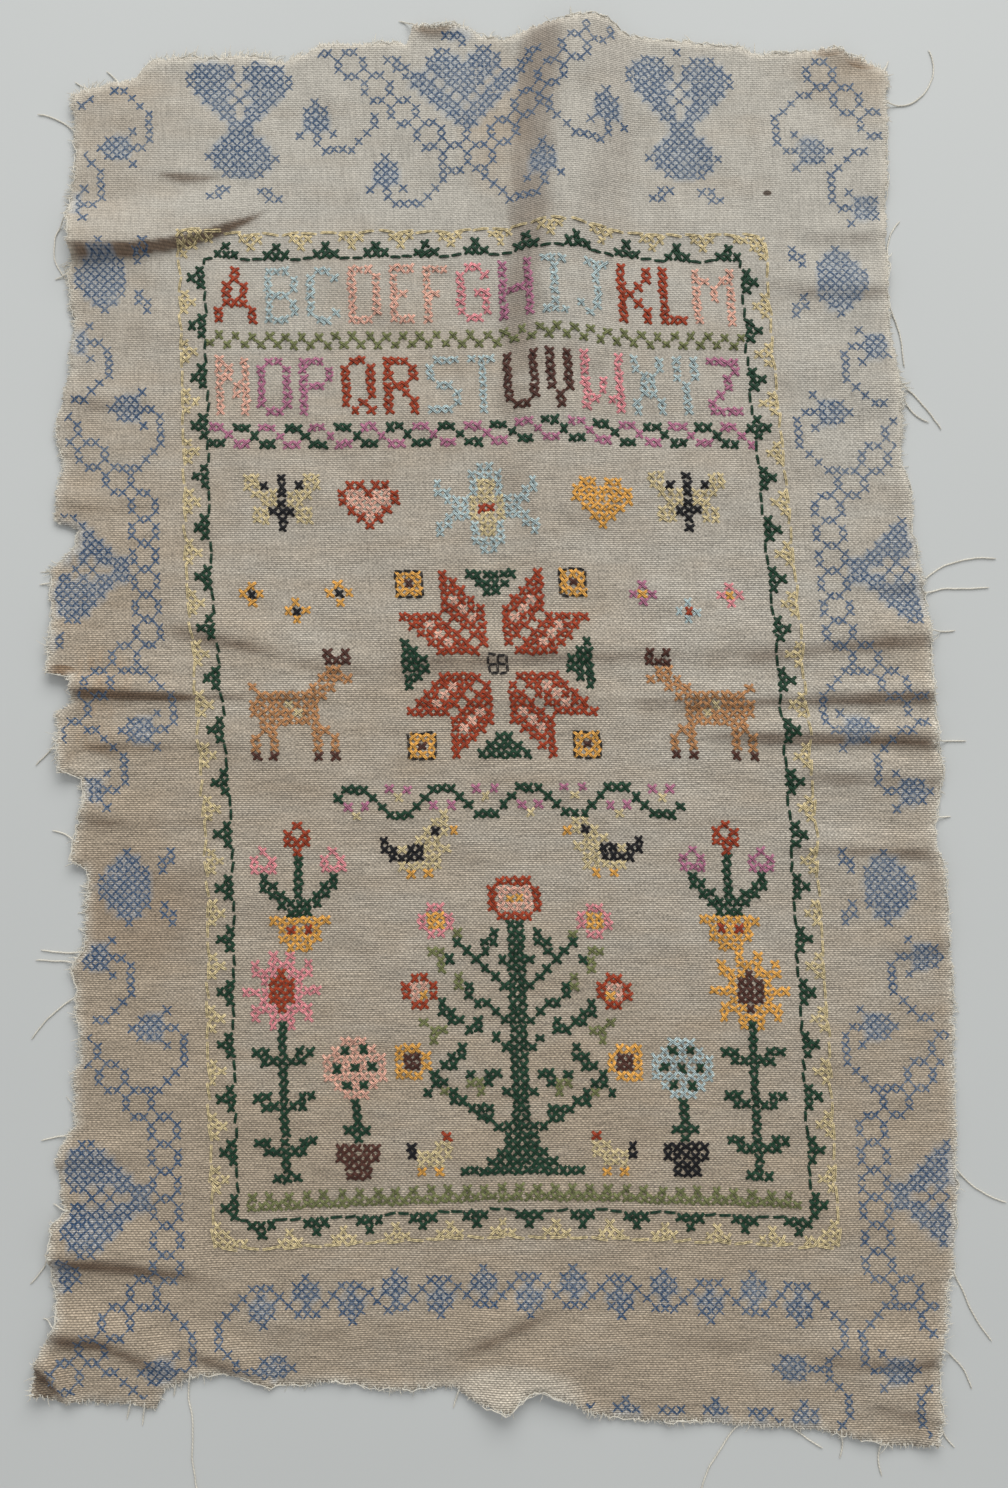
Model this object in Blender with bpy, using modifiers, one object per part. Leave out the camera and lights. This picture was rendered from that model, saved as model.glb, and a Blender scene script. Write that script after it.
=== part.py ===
"""An unframed cross stitch sampler cloth, lying flat with its creases.

One piece of linen with torn edges. The ground cloth is one solid. Each of its four sides ends in a
narrow ravelled strip, parted from the ground, that carries the loose threads of that side.
Millimetres in the tables below, metres in the model. X runs to the right, Y to the top of the
sampler, and Z = 0 is the surface that the cloth lies on.
"""

import math
from collections import namedtuple

import bmesh
import bpy
import numpy as np
from mathutils.bvhtree import BVHTree

MM = 0.001

# Driving dimensions, in millimetres.
CLOTH_THICKNESS = 1.2
STRIP_WIDTH = 3.0  # how deep the ravelling reaches into each side
GAP = 0.3  # between the ground and its ravelled strips
THREAD_WIDTH = 0.7  # a loose thread, square in section
THREAD_ROOT = 1.8  # how far a loose thread reaches into its strip
THREAD_DROP = 5.0  # the run in which a thread comes down to the surface
THREAD_CLEAR = 0.03  # threads that cross lie this much above each other
THREAD_STEP = 3.0  # the spacing of a thread's points
FLAT_BELOW = 0.5  # folds lower than this lie flat
TEAR_STEP = 5.0  # the spacing of the small jags along a torn edge
TEAR_JAG = 0.6  # how far such a jag stands out
TALL = 30.0  # half the height of the block that a piece's outline starts from
TALLER = 40.0  # half the height of the blocks that trim it
BEYOND = 60.0  # how far a side's block reaches past the cloth at its two ends
BEHIND = 400.0  # how far it reaches past the cloth's middle
INNER_STEP = 4  # the spacing of the points on the inner line of a strip, a whole number
FOLD_SAMPLES = 33  # the points at which a fold's curve is worked out
WELD = 0.001  # points nearer than this are one
SEED = 7

# Each torn side, read along it: the place along the side, and how far out the cloth reaches there.
# The top and bottom are read along X and reach out in Y, the left and right the other way round.
Turn = namedtuple("Turn", "along out")
SIDES = {
    "top": [
        Turn(*row)
        for row in (
            (-166, 246), (-156, 252), (-140, 255), (-134, 263), (-101, 265), (-84, 262),
            (-70, 269), (-37, 270), (-35, 277), (-18, 278), (-9, 273), (0, 271), (16, 278),
            (29, 281), (35, 282), (41, 275), (52, 272), (90, 268), (98, 265), (126, 267),
            (137, 263), (148, 257),
        )
    ],
    "right": [
        Turn(*row)
        for row in (
            (258, 146), (198, 145), (157, 146), (130, 150), (109, 148), (80, 152), (44, 158),
            (7, 161), (-13, 161), (-30, 158), (-38, 159), (-44, 163), (-100, 165), (-149, 165),
            (-187, 163), (-197, 161), (-212, 160), (-225, 157), (-250, 156),
        )
    ],
    "bottom": [
        Turn(*row)
        for row in (
            (-170, -234), (-142, -235), (-124, -237), (-121, -230), (-111, -226), (-100, -225),
            (-83, -230), (-60, -227), (-42, -231), (-18, -229), (-9, -235), (2, -239), (8, -232),
            (19, -233), (38, -240), (80, -242), (115, -244), (132, -248), (157, -250),
        )
    ],
    "left": [
        Turn(*row)
        for row in (
            (-236, -169), (-220, -166), (-206, -160), (-197, -160), (-186, -163), (-173, -163),
            (-169, -158), (-146, -159), (-138, -154), (-118, -154), (-83, -156), (-54, -152),
            (-46, -153), (-43, -159), (-35, -157), (-22, -154), (-13, -156), (-10, -164),
            (11, -165), (15, -160), (24, -161), (27, -169), (45, -168), (65, -168), (74, -159),
            (80, -159), (83, -167), (98, -166), (104, -164), (112, -167), (123, -167), (136, -163),
            (160, -163), (172, -165), (200, -166), (220, -163), (248, -165),
        )
    ],
}

# Each fold, as a curve from start to end that is drawn towards via. Its heights are those of its
# crest at the three points. It falls steeply on the right-hand side of its run and softly on the other.
Fold = namedtuple("Fold", "name start via end heights steep soft")
FOLDS = [
    Fold("shoulder pleat", (-176, 187), (-120, 192), (-62, 211), (7.5, 8.0, 0.0), 5, 26),
    Fold("centre ridge", (28, 292), (18, 180), (14, 62), (10.0, 11.0, 0.0), 24, 36),
    Fold("upper bar", (-176, 29), (0, 25), (172, 33), (2.4, 0.9, 3.2), 6, 11),
    Fold("middle bar", (-176, 19), (-10, 12), (172, 20), (5.0, 1.4, 3.8), 5, 9),
    Fold("lower bar, left", (-176, 0), (-120, 3), (-60, 1), (3.0, 2.4, 0.0), 6, 10),
    Fold("lower bar, right", (50, 3), (110, 0), (172, 2), (0.0, 2.4, 3.4), 6, 10),
    Fold("low left crease", (-176, -183), (-128, -185), (-88, -194), (5.0, 4.2, 0.0), 5, 18),
    Fold("corner drag", (-156, -200), (-130, -228), (-84, -229), (5.0, 5.0, 1.5), 8, 12),
    Fold("bottom sway", (-36, -190), (2, -212), (30, -246), (0.0, 3.2, 5.0), 10, 14),
    Fold("right shoulder dent", (92, 178), (124, 168), (160, 177), (0.0, 3.0, 2.6), 8, 14),
    Fold("low right crease", (96, -212), (130, -222), (166, -216), (0.0, 2.8, 3.4), 8, 14),
]

# Each place where the torn edge stands off the surface: its middle, its reach and its height.
Lift = namedtuple("Lift", "name x y reach height")
LIFTS = [
    Lift("tab under the bars", -168, -6, 20, 4.6),
    Lift("tab over the bars", -172, 40, 18, 3.4),
    Lift("left waist", -158, -42, 12, 2.2),
    Lift("curled corner", -172, -238, 17, 6.5),
    Lift("top flap", -27, 281, 14, 4.5),
    Lift("top right flap", 132, 270, 17, 4.0),
    Lift("top left corner", -166, 250, 16, 2.6),
    Lift("bottom tongue", 2, -240, 15, 3.6),
    Lift("right step", 163, -47, 14, 2.6),
    Lift("right corner", 158, -250, 18, 3.0),
]

# Where the cloth bends sharply its grid is closer: the stretch and the spacing of its lines.
Zone = namedtuple("Zone", "low high step")
COARSE = 16.0
ROW_ZONES = [Zone(-250, -176, 7.5), Zone(-16, 46, 3.6), Zone(176, 216, 4.0)]
COLUMN_ZONES = [Zone(-176, -148, 7.0), Zone(-16, 50, 8.0)]

# Each loose thread: its side, its place along that side, its length, the way it sets out and how
# far it turns on its way. Angles are in degrees, anticlockwise from +X.
Thread = namedtuple("Thread", "side at length heading curl")
THREADS = [
    Thread("top", -158, 7, 148, -10),
    Thread("top", -147, 7, 128, 15),
    Thread("top", -34, 7, 152, 10),
    Thread("top", 26, 10, 92, -6),
    Thread("top", 145, 5, 70, 0),
    Thread("right", 239, 31, 335, 128),
    Thread("right", 184, 16, 84, -40),
    Thread("right", 166, 25, 298, -26),
    Thread("right", 136, 24, 322, -34),
    Thread("right", 131, 15, 300, 40),
    Thread("right", 104, 12, 300, -30),
    Thread("right", 60, 31, 40, -46),
    Thread("right", 56, 25, 14, -16),
    Thread("right", 42, 10, 2, 4),
    Thread("right", 1, 12, 6, -10),
    Thread("right", -27, 6, 0, 10),
    Thread("right", -153, 23, 312, 40),
    Thread("right", -189, 29, 298, 8),
    Thread("right", -216, 19, 328, -46),
    Thread("right", -243, 10, 300, 10),
    Thread("bottom", 134, 12, 262, 24),
    Thread("bottom", 120, 9, 276, -20),
    Thread("bottom", 103, 13, 318, 8),
    Thread("bottom", 84, 38, 222, 46),
    Thread("bottom", -16, 7, 250, 10),
    Thread("bottom", -112, 50, 268, 7),
    Thread("bottom", -117, 5, 258, 0),
    Thread("bottom", -128, 7, 262, -8),
    Thread("bottom", -133, 6, 250, 12),
    Thread("left", -208, 6, 160, 10),
    Thread("left", -184, 13, 236, -12),
    Thread("left", -168, 5, 150, 10),
    Thread("left", -142, 10, 188, 8),
    Thread("left", -92, 23, 214, 26),
    Thread("left", -76, 16, 186, -10),
    Thread("left", -80, 15, 176, 4),
    Thread("left", -36, 10, 138, 44),
    Thread("left", 0, 12, 208, 26),
    Thread("left", 60, 5, 178, 0),
    Thread("left", 178, 6, 200, 10),
    Thread("left", 199, 27, 216, 112),
    Thread("left", 233, 17, 134, 52),
]


def clear_scene():
    for ob in list(bpy.data.objects):
        bpy.data.objects.remove(ob)


def new_collection(name, cutters=False):
    made = bpy.data.collections.new(name)
    bpy.context.scene.collection.children.link(made)
    made.hide_render = cutters
    return made


def fabric(name, colour, roughness):
    """A cloth finish: its colour and roughness, and no metal."""
    material = bpy.data.materials.new(name)
    material.use_nodes = True
    shader = material.node_tree.nodes["Principled BSDF"]
    shader.inputs["Base Color"].default_value = (*colour, 1)
    shader.inputs["Roughness"].default_value = roughness
    shader.inputs["Metallic"].default_value = 0
    return material


def ease(t):
    """A smooth step from 0 to 1."""
    t = np.clip(t, 0, 1)
    return t * t * (3 - 2 * t)


def fold_height(fold, x, y):
    """The height of one fold over the points x, y."""
    t = np.linspace(0, 1, FOLD_SAMPLES)[:, None, None]
    ends = (1 - t) ** 2, 2 * t * (1 - t), t**2
    px, py = (
        sum(w * p[axis] for w, p in zip(ends, (fold.start, fold.via, fold.end)))
        for axis in (0, 1)
    )
    crest = sum(w * h for w, h in zip(ends, fold.heights))
    dx, dy = x[None] - px, y[None] - py
    nearest = np.argmin(dx**2 + dy**2, axis=0)[None]
    run_x, run_y = np.gradient(px[:, 0, 0]), np.gradient(py[:, 0, 0])
    rx, ry = run_x[nearest[0]], run_y[nearest[0]]
    off_x = np.take_along_axis(dx, nearest, 0)[0]
    off_y = np.take_along_axis(dy, nearest, 0)[0]
    across = (rx * off_y - ry * off_x) / np.hypot(rx, ry)
    past_end = np.sqrt(np.maximum(off_x**2 + off_y**2 - across**2, 0))
    reach = np.where(across < 0, fold.steep, fold.soft)
    side_fall = ease(1 - np.abs(across) / reach)
    end_fall = ease(1 - past_end / fold.soft)
    return crest[:, 0, 0][nearest[0]] * side_fall * end_fall


def cloth_height(x, y):
    """How far the underside of the cloth stands off the surface, over arrays of points."""
    x, y = np.atleast_2d(x), np.atleast_2d(y)
    folds = np.zeros_like(x, dtype=float)
    for fold in FOLDS:
        folds = np.maximum(folds, fold_height(fold, x, y))
    lifts = np.zeros_like(folds)
    for lift in LIFTS:
        far = np.hypot(x - lift.x, y - lift.y) / lift.reach
        lifts = np.maximum(lifts, lift.height * ease(1 - far))
    return np.maximum(np.maximum(folds, lifts) - FLAT_BELOW, 0)


def grid_lines(low, high, zones):
    """The places of the grid's lines: coarse, and closer where the cloth bends sharply."""
    lines = [
        value
        for value in np.arange(low, high + COARSE, COARSE)
        if not any(z.low - COARSE / 3 < value < z.high + COARSE / 3 for z in zones)
    ]
    for z in zones:
        lines += list(np.linspace(z.low, z.high, round((z.high - z.low) / z.step) + 1))
    return np.array(sorted(lines))


def wavy_slab(collection):
    """A slab with every fold of the cloth, larger than the cloth all round."""
    columns = grid_lines(-184, 184, COLUMN_ZONES)
    rows = grid_lines(-268, 300, ROW_ZONES)
    mesh = bpy.data.meshes.new("wavy_slab")
    bm = bmesh.new()
    bmesh.ops.create_grid(
        bm, x_segments=len(columns) - 1, y_segments=len(rows) - 1, size=1.0
    )
    for v in bm.verts:
        column = round((v.co.x + 1) / 2 * (len(columns) - 1))
        row = round((v.co.y + 1) / 2 * (len(rows) - 1))
        x, y = columns[column], rows[row]
        v.co = (x * MM, y * MM, cloth_height(x, y)[0, 0] * MM)
    bm.to_mesh(mesh)
    bm.free()
    slab = bpy.data.objects.new("wavy_slab", mesh)
    collection.objects.link(slab)
    thick = slab.modifiers.new("thickness", "SOLIDIFY")
    thick.thickness = CLOTH_THICKNESS * MM
    thick.offset = 1
    return slab


def torn_side(side):
    """A side's turns with the small jags of its tear between them, as places and reaches."""
    turns = SIDES[side]
    random = np.random.default_rng([SEED, sorted(SIDES).index(side)])
    ordered = sorted(turns)
    along = [ordered[0].along]
    for a, b in zip(ordered, ordered[1:]):
        steps = max(1, round((b.along - a.along) / TEAR_STEP))
        along += list(np.linspace(a.along, b.along, steps + 1)[1:])
    along = np.array(along, dtype=float)
    out = np.interp(along, [t.along for t in ordered], [t.out for t in ordered])
    return along, out + random.uniform(-TEAR_JAG, TEAR_JAG, len(out))


def outward(side):
    """+1 where a side's outward direction is positive on its axis, and -1 where it isn't."""
    return 1 if side in ("top", "right") else -1


def drawn_in(side, inset):
    """A torn side moved into the cloth by inset, also round its steps."""
    along, out = torn_side(side)
    if inset == 0:
        return along, out
    sign = outward(side)
    even = np.arange(along[0], along[-1], 1.0)
    reach = np.interp(even, along, out) * sign
    window = [reach[np.abs(even - place) <= inset].min() for place in even]
    inner = (np.array(window) - inset) * sign
    return even[::INNER_STEP], inner[::INNER_STEP]


def side_region(side, inset, half_height, collection):
    """A tall block over everything inward of a torn side that is moved in by inset."""
    along, out = drawn_in(side, inset)
    sign = outward(side)
    near, far = along[0] - BEYOND, along[-1] + BEYOND
    back = -sign * BEHIND
    places = [(near, out[0]), *zip(along, out), (far, out[-1]), (far, back), (near, back)]
    if side in ("left", "right"):
        places = [(y, x) for x, y in places]
    return block(f"{side}_in_{inset:.1f}", places, half_height, collection)


def block(name, places, half_height, collection):
    """A closed outline, in millimetres, extruded into a tall block that is used as a cutter."""
    curve = bpy.data.curves.new(name, "CURVE")
    curve.dimensions = "2D"
    curve.fill_mode = "BOTH"
    curve.extrude = half_height * MM
    spline = curve.splines.new("POLY")
    spline.points.add(len(places) - 1)
    for point, (x, y) in zip(spline.points, places):
        point.co = (x * MM, y * MM, 0, 1)
    spline.use_cyclic_u = True
    outline = bpy.data.objects.new(name + "_outline", curve)
    collection.objects.link(outline)
    cutter = meshed(outline, name, collection)
    cutter.display_type = "WIRE"
    cutter.hide_render = True
    return cutter


def meshed(curve_object, name, collection):
    """A curve object turned into a mesh object with welded caps."""
    bpy.context.view_layer.update()
    evaluated = curve_object.evaluated_get(bpy.context.evaluated_depsgraph_get())
    mesh = bpy.data.meshes.new_from_object(evaluated)
    weld(mesh, outward_faces=True)
    made = bpy.data.objects.new(name, mesh)
    made.matrix_world = curve_object.matrix_world
    collection.objects.link(made)
    bpy.data.objects.remove(curve_object)
    return made


def weld(mesh, outward_faces=False):
    """Merges the points of a mesh that meet, and turns its faces outwards where that is asked."""
    bm = bmesh.new()
    bm.from_mesh(mesh)
    bmesh.ops.remove_doubles(bm, verts=bm.verts, dist=WELD * MM)
    bmesh.ops.dissolve_degenerate(bm, edges=bm.edges, dist=WELD * MM)
    if outward_faces:
        bmesh.ops.recalc_face_normals(bm, faces=bm.faces)
    bm.to_mesh(mesh)
    bm.free()


def cut(ob, operation, other):
    """One Boolean on ob, applied at once."""
    modifier = ob.modifiers.new("cut", "BOOLEAN")
    modifier.operation = operation
    modifier.solver = "EXACT"
    modifier.object = other
    apply_modifiers(ob)


def apply_modifiers(ob):
    """ob's mesh as its modifiers leave it."""
    bpy.context.view_layer.update()
    evaluated = ob.evaluated_get(bpy.context.evaluated_depsgraph_get())
    mesh = bpy.data.meshes.new_from_object(evaluated)
    weld(mesh)
    ob.modifiers.clear()
    ob.data = mesh


def cloth_piece(name, slab, side, kept, removed, material, collections):
    """The cloth inside the block of a side and the taller kept ones, and outside the removed one."""
    parts, cutters = collections
    outline = side_region(side, *kept[side], cutters)
    for end, (inset, half_height) in kept.items():
        if end != side:
            cut(outline, "INTERSECT", side_region(end, inset, half_height, cutters))
    if removed:
        cut(outline, "DIFFERENCE", side_region(side, *removed, cutters))
    piece = bpy.data.objects.new(name, slab.data.copy())
    parts.objects.link(piece)
    cut(piece, "INTERSECT", outline)
    piece.data.name = name
    piece.data.materials.clear()
    piece.data.materials.append(material)
    return piece


def edge_place(side, at, inset, top):
    """The point at a place along a torn side, inset from its edge, in the middle of the cloth."""
    along, out = torn_side(side)
    reach = float(np.interp(at, along, out)) - outward(side) * inset
    x, y = (at, reach) if side in ("top", "bottom") else (reach, at)
    hit = top.ray_cast((x * MM, y * MM, 1.0), (0, 0, -1))[0]
    return x, y, hit.z / MM - CLOTH_THICKNESS / 2


def thread_path(thread, clear, top):
    """A loose thread's points, in millimetres, from inside its strip to just clear of the surface."""
    points = [edge_place(thread.side, thread.at, THREAD_ROOT, top)]
    x, y, root = edge_place(thread.side, thread.at, 0, top)
    rest = THREAD_WIDTH / 2 + clear
    steps = max(2, round(thread.length / THREAD_STEP))
    step = thread.length / steps
    angle = math.radians(thread.heading)
    for i in range(steps + 1):
        fall = min(1.0, i * step / THREAD_DROP)
        points.append((x, y, root + (rest - root) * fall))
        x += math.cos(angle) * step
        y += math.sin(angle) * step
        angle += math.radians(thread.curl) / steps
    return points


def loose_thread(name, path, collection):
    """One loose thread along its path, as a square rod that lies level on the surface."""
    curve = bpy.data.curves.new(name, "CURVE")
    curve.dimensions = "3D"
    curve.twist_mode = "Z_UP"
    curve.bevel_depth = THREAD_WIDTH / 2 * math.sqrt(2) * MM
    curve.bevel_resolution = 0
    curve.use_fill_caps = True
    spline = curve.splines.new("POLY")
    spline.points.add(len(path) - 1)
    for point, (x, y, z) in zip(spline.points, path):
        point.co = (x * MM, y * MM, z * MM, 1)
        point.tilt = math.pi / 4
    rod = bpy.data.objects.new(name + "_path", curve)
    collection.objects.link(rod)
    return meshed(rod, name, collection)


def add_threads(strip, side, top, collection):
    """Fuses a side's loose threads to its strip. top is the cloth's whole upper surface."""
    for i, thread in enumerate(t for t in THREADS if t.side == side):
        path = thread_path(thread, THREAD_CLEAR * (1 + i % 3), top)
        rod = loose_thread(f"thread_{side}_{i}", path, collection)
        cut(strip, "UNION", rod)
        bpy.data.objects.remove(rod)


def main():
    clear_scene()
    parts = new_collection("cross_stitch_sampler_cloth")
    cutters = new_collection("cutters", cutters=True)
    linen = fabric("linen", (0.50, 0.41, 0.31), 0.9)
    ravelled = fabric("ravelled_linen", (0.62, 0.54, 0.42), 0.95)

    slab = wavy_slab(cutters)
    apply_modifiers(slab)
    top = BVHTree.FromObject(slab, bpy.context.evaluated_depsgraph_get())
    edge, inner, ground = 0, STRIP_WIDTH, STRIP_WIDTH + GAP

    insets = {side: (ground, TALLER) for side in SIDES}
    insets["top"] = (ground, TALL)
    cloth_piece("linen_ground", slab, "top", insets, None, linen, (parts, cutters))
    for side in SIDES:
        across = side in ("top", "bottom")
        ends = ("left", "right") if across else ("top", "bottom")
        insets = {end: (edge if across else ground, TALLER) for end in ends}
        insets[side] = (edge, TALL)
        strip = cloth_piece(
            f"frayed_edge_{side}", slab, side, insets, (inner, TALLER), ravelled, (parts, cutters)
        )
        add_threads(strip, side, top, cutters)
    for ob in list(cutters.objects):
        bpy.data.objects.remove(ob)


main()
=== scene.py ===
"""An unframed cross stitch sampler, dressed: its linen, floss, stamped crosses and ravelled edges.

The tables of the cloth are in millimetres and those of the design in cells of its cross stitch grid,
counted from the top left corner of the green line. Meshes are in metres and angles in degrees,
anticlockwise from +X. X runs to the right, Y to the top of the sampler, and Z = 0 is the floor.
"""

import math
from collections import defaultdict, namedtuple
from functools import cache

import bpy
import numpy as np
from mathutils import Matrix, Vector
from mathutils.geometry import delaunay_2d_cdt


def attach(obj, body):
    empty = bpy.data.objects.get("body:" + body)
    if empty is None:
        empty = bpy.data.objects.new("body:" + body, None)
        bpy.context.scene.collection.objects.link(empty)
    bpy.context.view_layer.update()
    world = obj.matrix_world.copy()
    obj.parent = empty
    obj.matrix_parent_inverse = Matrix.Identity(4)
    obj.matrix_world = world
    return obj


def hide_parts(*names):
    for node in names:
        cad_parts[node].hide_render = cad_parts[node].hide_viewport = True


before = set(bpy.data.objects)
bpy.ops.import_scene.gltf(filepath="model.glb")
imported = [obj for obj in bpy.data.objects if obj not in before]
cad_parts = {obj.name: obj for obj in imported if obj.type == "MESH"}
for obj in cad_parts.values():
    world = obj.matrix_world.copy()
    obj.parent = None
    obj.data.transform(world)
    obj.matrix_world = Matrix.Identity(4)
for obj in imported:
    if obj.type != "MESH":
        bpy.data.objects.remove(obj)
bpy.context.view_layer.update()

bl_info = {
    "name": "Cross stitch sampler cloth",
    "version": (1, 0, 0),
    "blender": (4, 5, 0),
    "location": "3D View > Sidebar > Sampler",
    "description": "Dresses an unframed cross stitch sampler on torn, creased linen",
    "category": "Object",
}

MM = 0.001

# ---------------------------------------------------------------------------------------------
# The cloth: its torn sides, folds, lifted edges and loose threads
# ---------------------------------------------------------------------------------------------

# The solids have the same ones, but for the blunter peak of the top side and some folds' heights.

TEAR_STEP = 5.0  # the spacing of the small jags along a torn edge
TEAR_JAG = 0.6  # how far such a jag stands out
TEAR_SEED = 7
FLAT_BELOW = 0.5  # folds lower than this lie flat
FOLD_SAMPLES = 65  # the points at which a fold's curve is worked out
SLACK_SHARE = 0.8  # how much of the swells' full height the slack takes

# Each torn side, read along it: the place along the side, and how far out the cloth reaches there.
# The top and bottom are read along X and reach out in Y, the left and right the other way round.
Turn = namedtuple("Turn", "along out")
SIDES = {
    "top": [
        Turn(*row)
        for row in (
            (-166, 246), (-156, 251), (-140, 254), (-134, 261), (-101, 263), (-84, 260),
            (-70, 267), (-37, 268), (-35, 275), (-18, 276), (-9, 271), (0, 269), (16, 276),
            (27, 279), (34, 280), (39, 278), (44, 273), (52, 270), (90, 266), (98, 263), (126, 266),
            (137, 262), (148, 256),
        )
    ],
    "right": [
        Turn(*row)
        for row in (
            (258, 146), (198, 144.5), (157, 145), (130, 149), (109, 148), (92, 152), (80, 152),
            (44, 157.5), (7, 159.5), (-13, 160.5), (-30, 158), (-38, 158.5), (-44, 161.5),
            (-100, 163), (-149, 163), (-187, 161), (-197, 159), (-212, 158), (-225, 155.5),
            (-250, 155),
        )
    ],
    "bottom": [
        Turn(*row)
        for row in (
            (-170, -234), (-142, -235), (-124, -237), (-121, -230), (-111, -226), (-100, -225),
            (-83, -230.5), (-60, -227), (-42, -231), (-18, -229), (-9, -235), (2, -239),
            (7, -233), (13, -231.5), (21, -234), (30, -239), (39, -240.5), (80, -242),
            (115, -245), (132, -249), (157, -250.5),
        )
    ],
    "left": [
        Turn(*row)
        for row in (
            (-236, -169), (-220, -166), (-206, -160), (-197, -160), (-186, -163), (-173, -163),
            (-169, -158), (-151, -161), (-146, -160), (-141, -157), (-138, -154.5), (-119, -155),
            (-116, -152.5), (-104, -152.5), (-100, -155), (-83, -156.5), (-78, -155.5),
            (-75, -152.5), (-54, -152), (-46, -153), (-43, -159), (-35, -157), (-22, -154),
            (-12, -156), (-10.5, -164), (11, -165), (15, -160), (24.6, -161), (26.2, -169),
            (45, -168), (65, -168), (74, -159), (80, -159), (83, -167), (98, -166), (104, -164),
            (112, -167), (123, -167), (136, -163), (160, -161.5), (172, -163.5), (200, -165.5),
            (220, -162), (248, -164.5),
        )
    ],
}

# Each fold, as a curve from start to end that is drawn towards via. Its heights are those of its
# crest at the three points. It falls steeply on the right-hand side of its run and softly on the other.
Fold = namedtuple("Fold", "name start via end heights steep soft")
FOLDS = [
    Fold("shoulder pleat", (-176, 188.5), (-130, 182), (-86, 205), (6.4, 7.6, 0.0), 3.2, 24),
    Fold("centre ridge", (28, 292), (18, 180), (14, 62), (10.0, 11.0, 0.0), 24, 36),
    Fold("upper bar", (-176, 29), (-20, 26), (172, 38), (1.8, 0.4, 0.0), 8, 12),
    Fold("middle bar, left", (-176, 22), (-140, 20), (-92, 18), (4.6, 4.8, 0.0), 4.4, 9),
    Fold("middle bar", (-120, 20), (10, 14), (172, 20), (1.8, -0.6, 4.4), 5, 9),
    Fold("lower bar, left", (-176, 0), (-120, 3), (-60, 1), (2.4, 1.8, 0.0), 7, 11),
    Fold("lower bar, right", (50, 5), (110, 5), (172, 3), (0.0, 4.4, 3.8), 6, 8),
    Fold("low left crease", (-176, -183), (-128, -185), (-88, -194), (5.0, 4.2, 0.0), 5, 18),
    Fold("corner drag", (-172, -208), (-140, -209), (-114, -226), (4.6, 4.6, 1.2), 6, 12),
    Fold("bottom sway", (-36, -190), (2, -212), (30, -246), (0.0, 1.2, 3.0), 10, 14),
    Fold("right shoulder dent", (92, 178), (124, 168), (160, 177), (0.0, 3.0, 2.6), 8, 14),
    Fold("low right crease", (96, -212), (130, -222), (166, -216), (0.0, 2.8, 3.4), 8, 14),
]

# Each place where the torn edge stands off the surface: its middle, its reach and its height.
Lift = namedtuple("Lift", "name x y reach height")
LIFTS = [
    Lift("tab under the bars", -168, -6, 20, 4.6),
    Lift("tab over the bars", -172, 40, 18, 3.4),
    Lift("left waist", -158, -42, 12, 2.2),
    Lift("curled corner", -172, -238, 17, 6.5),
    Lift("top flap", -27, 281, 14, 4.5),
    Lift("top right flap", 132, 270, 17, 4.0),
    Lift("top left corner", -166, 250, 16, 2.6),
    Lift("bottom tongue", 2, -240, 15, 3.6),
    Lift("right step", 163, -47, 14, 2.6),
    Lift("right corner", 158, -250, 18, 3.0),
]

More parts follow.
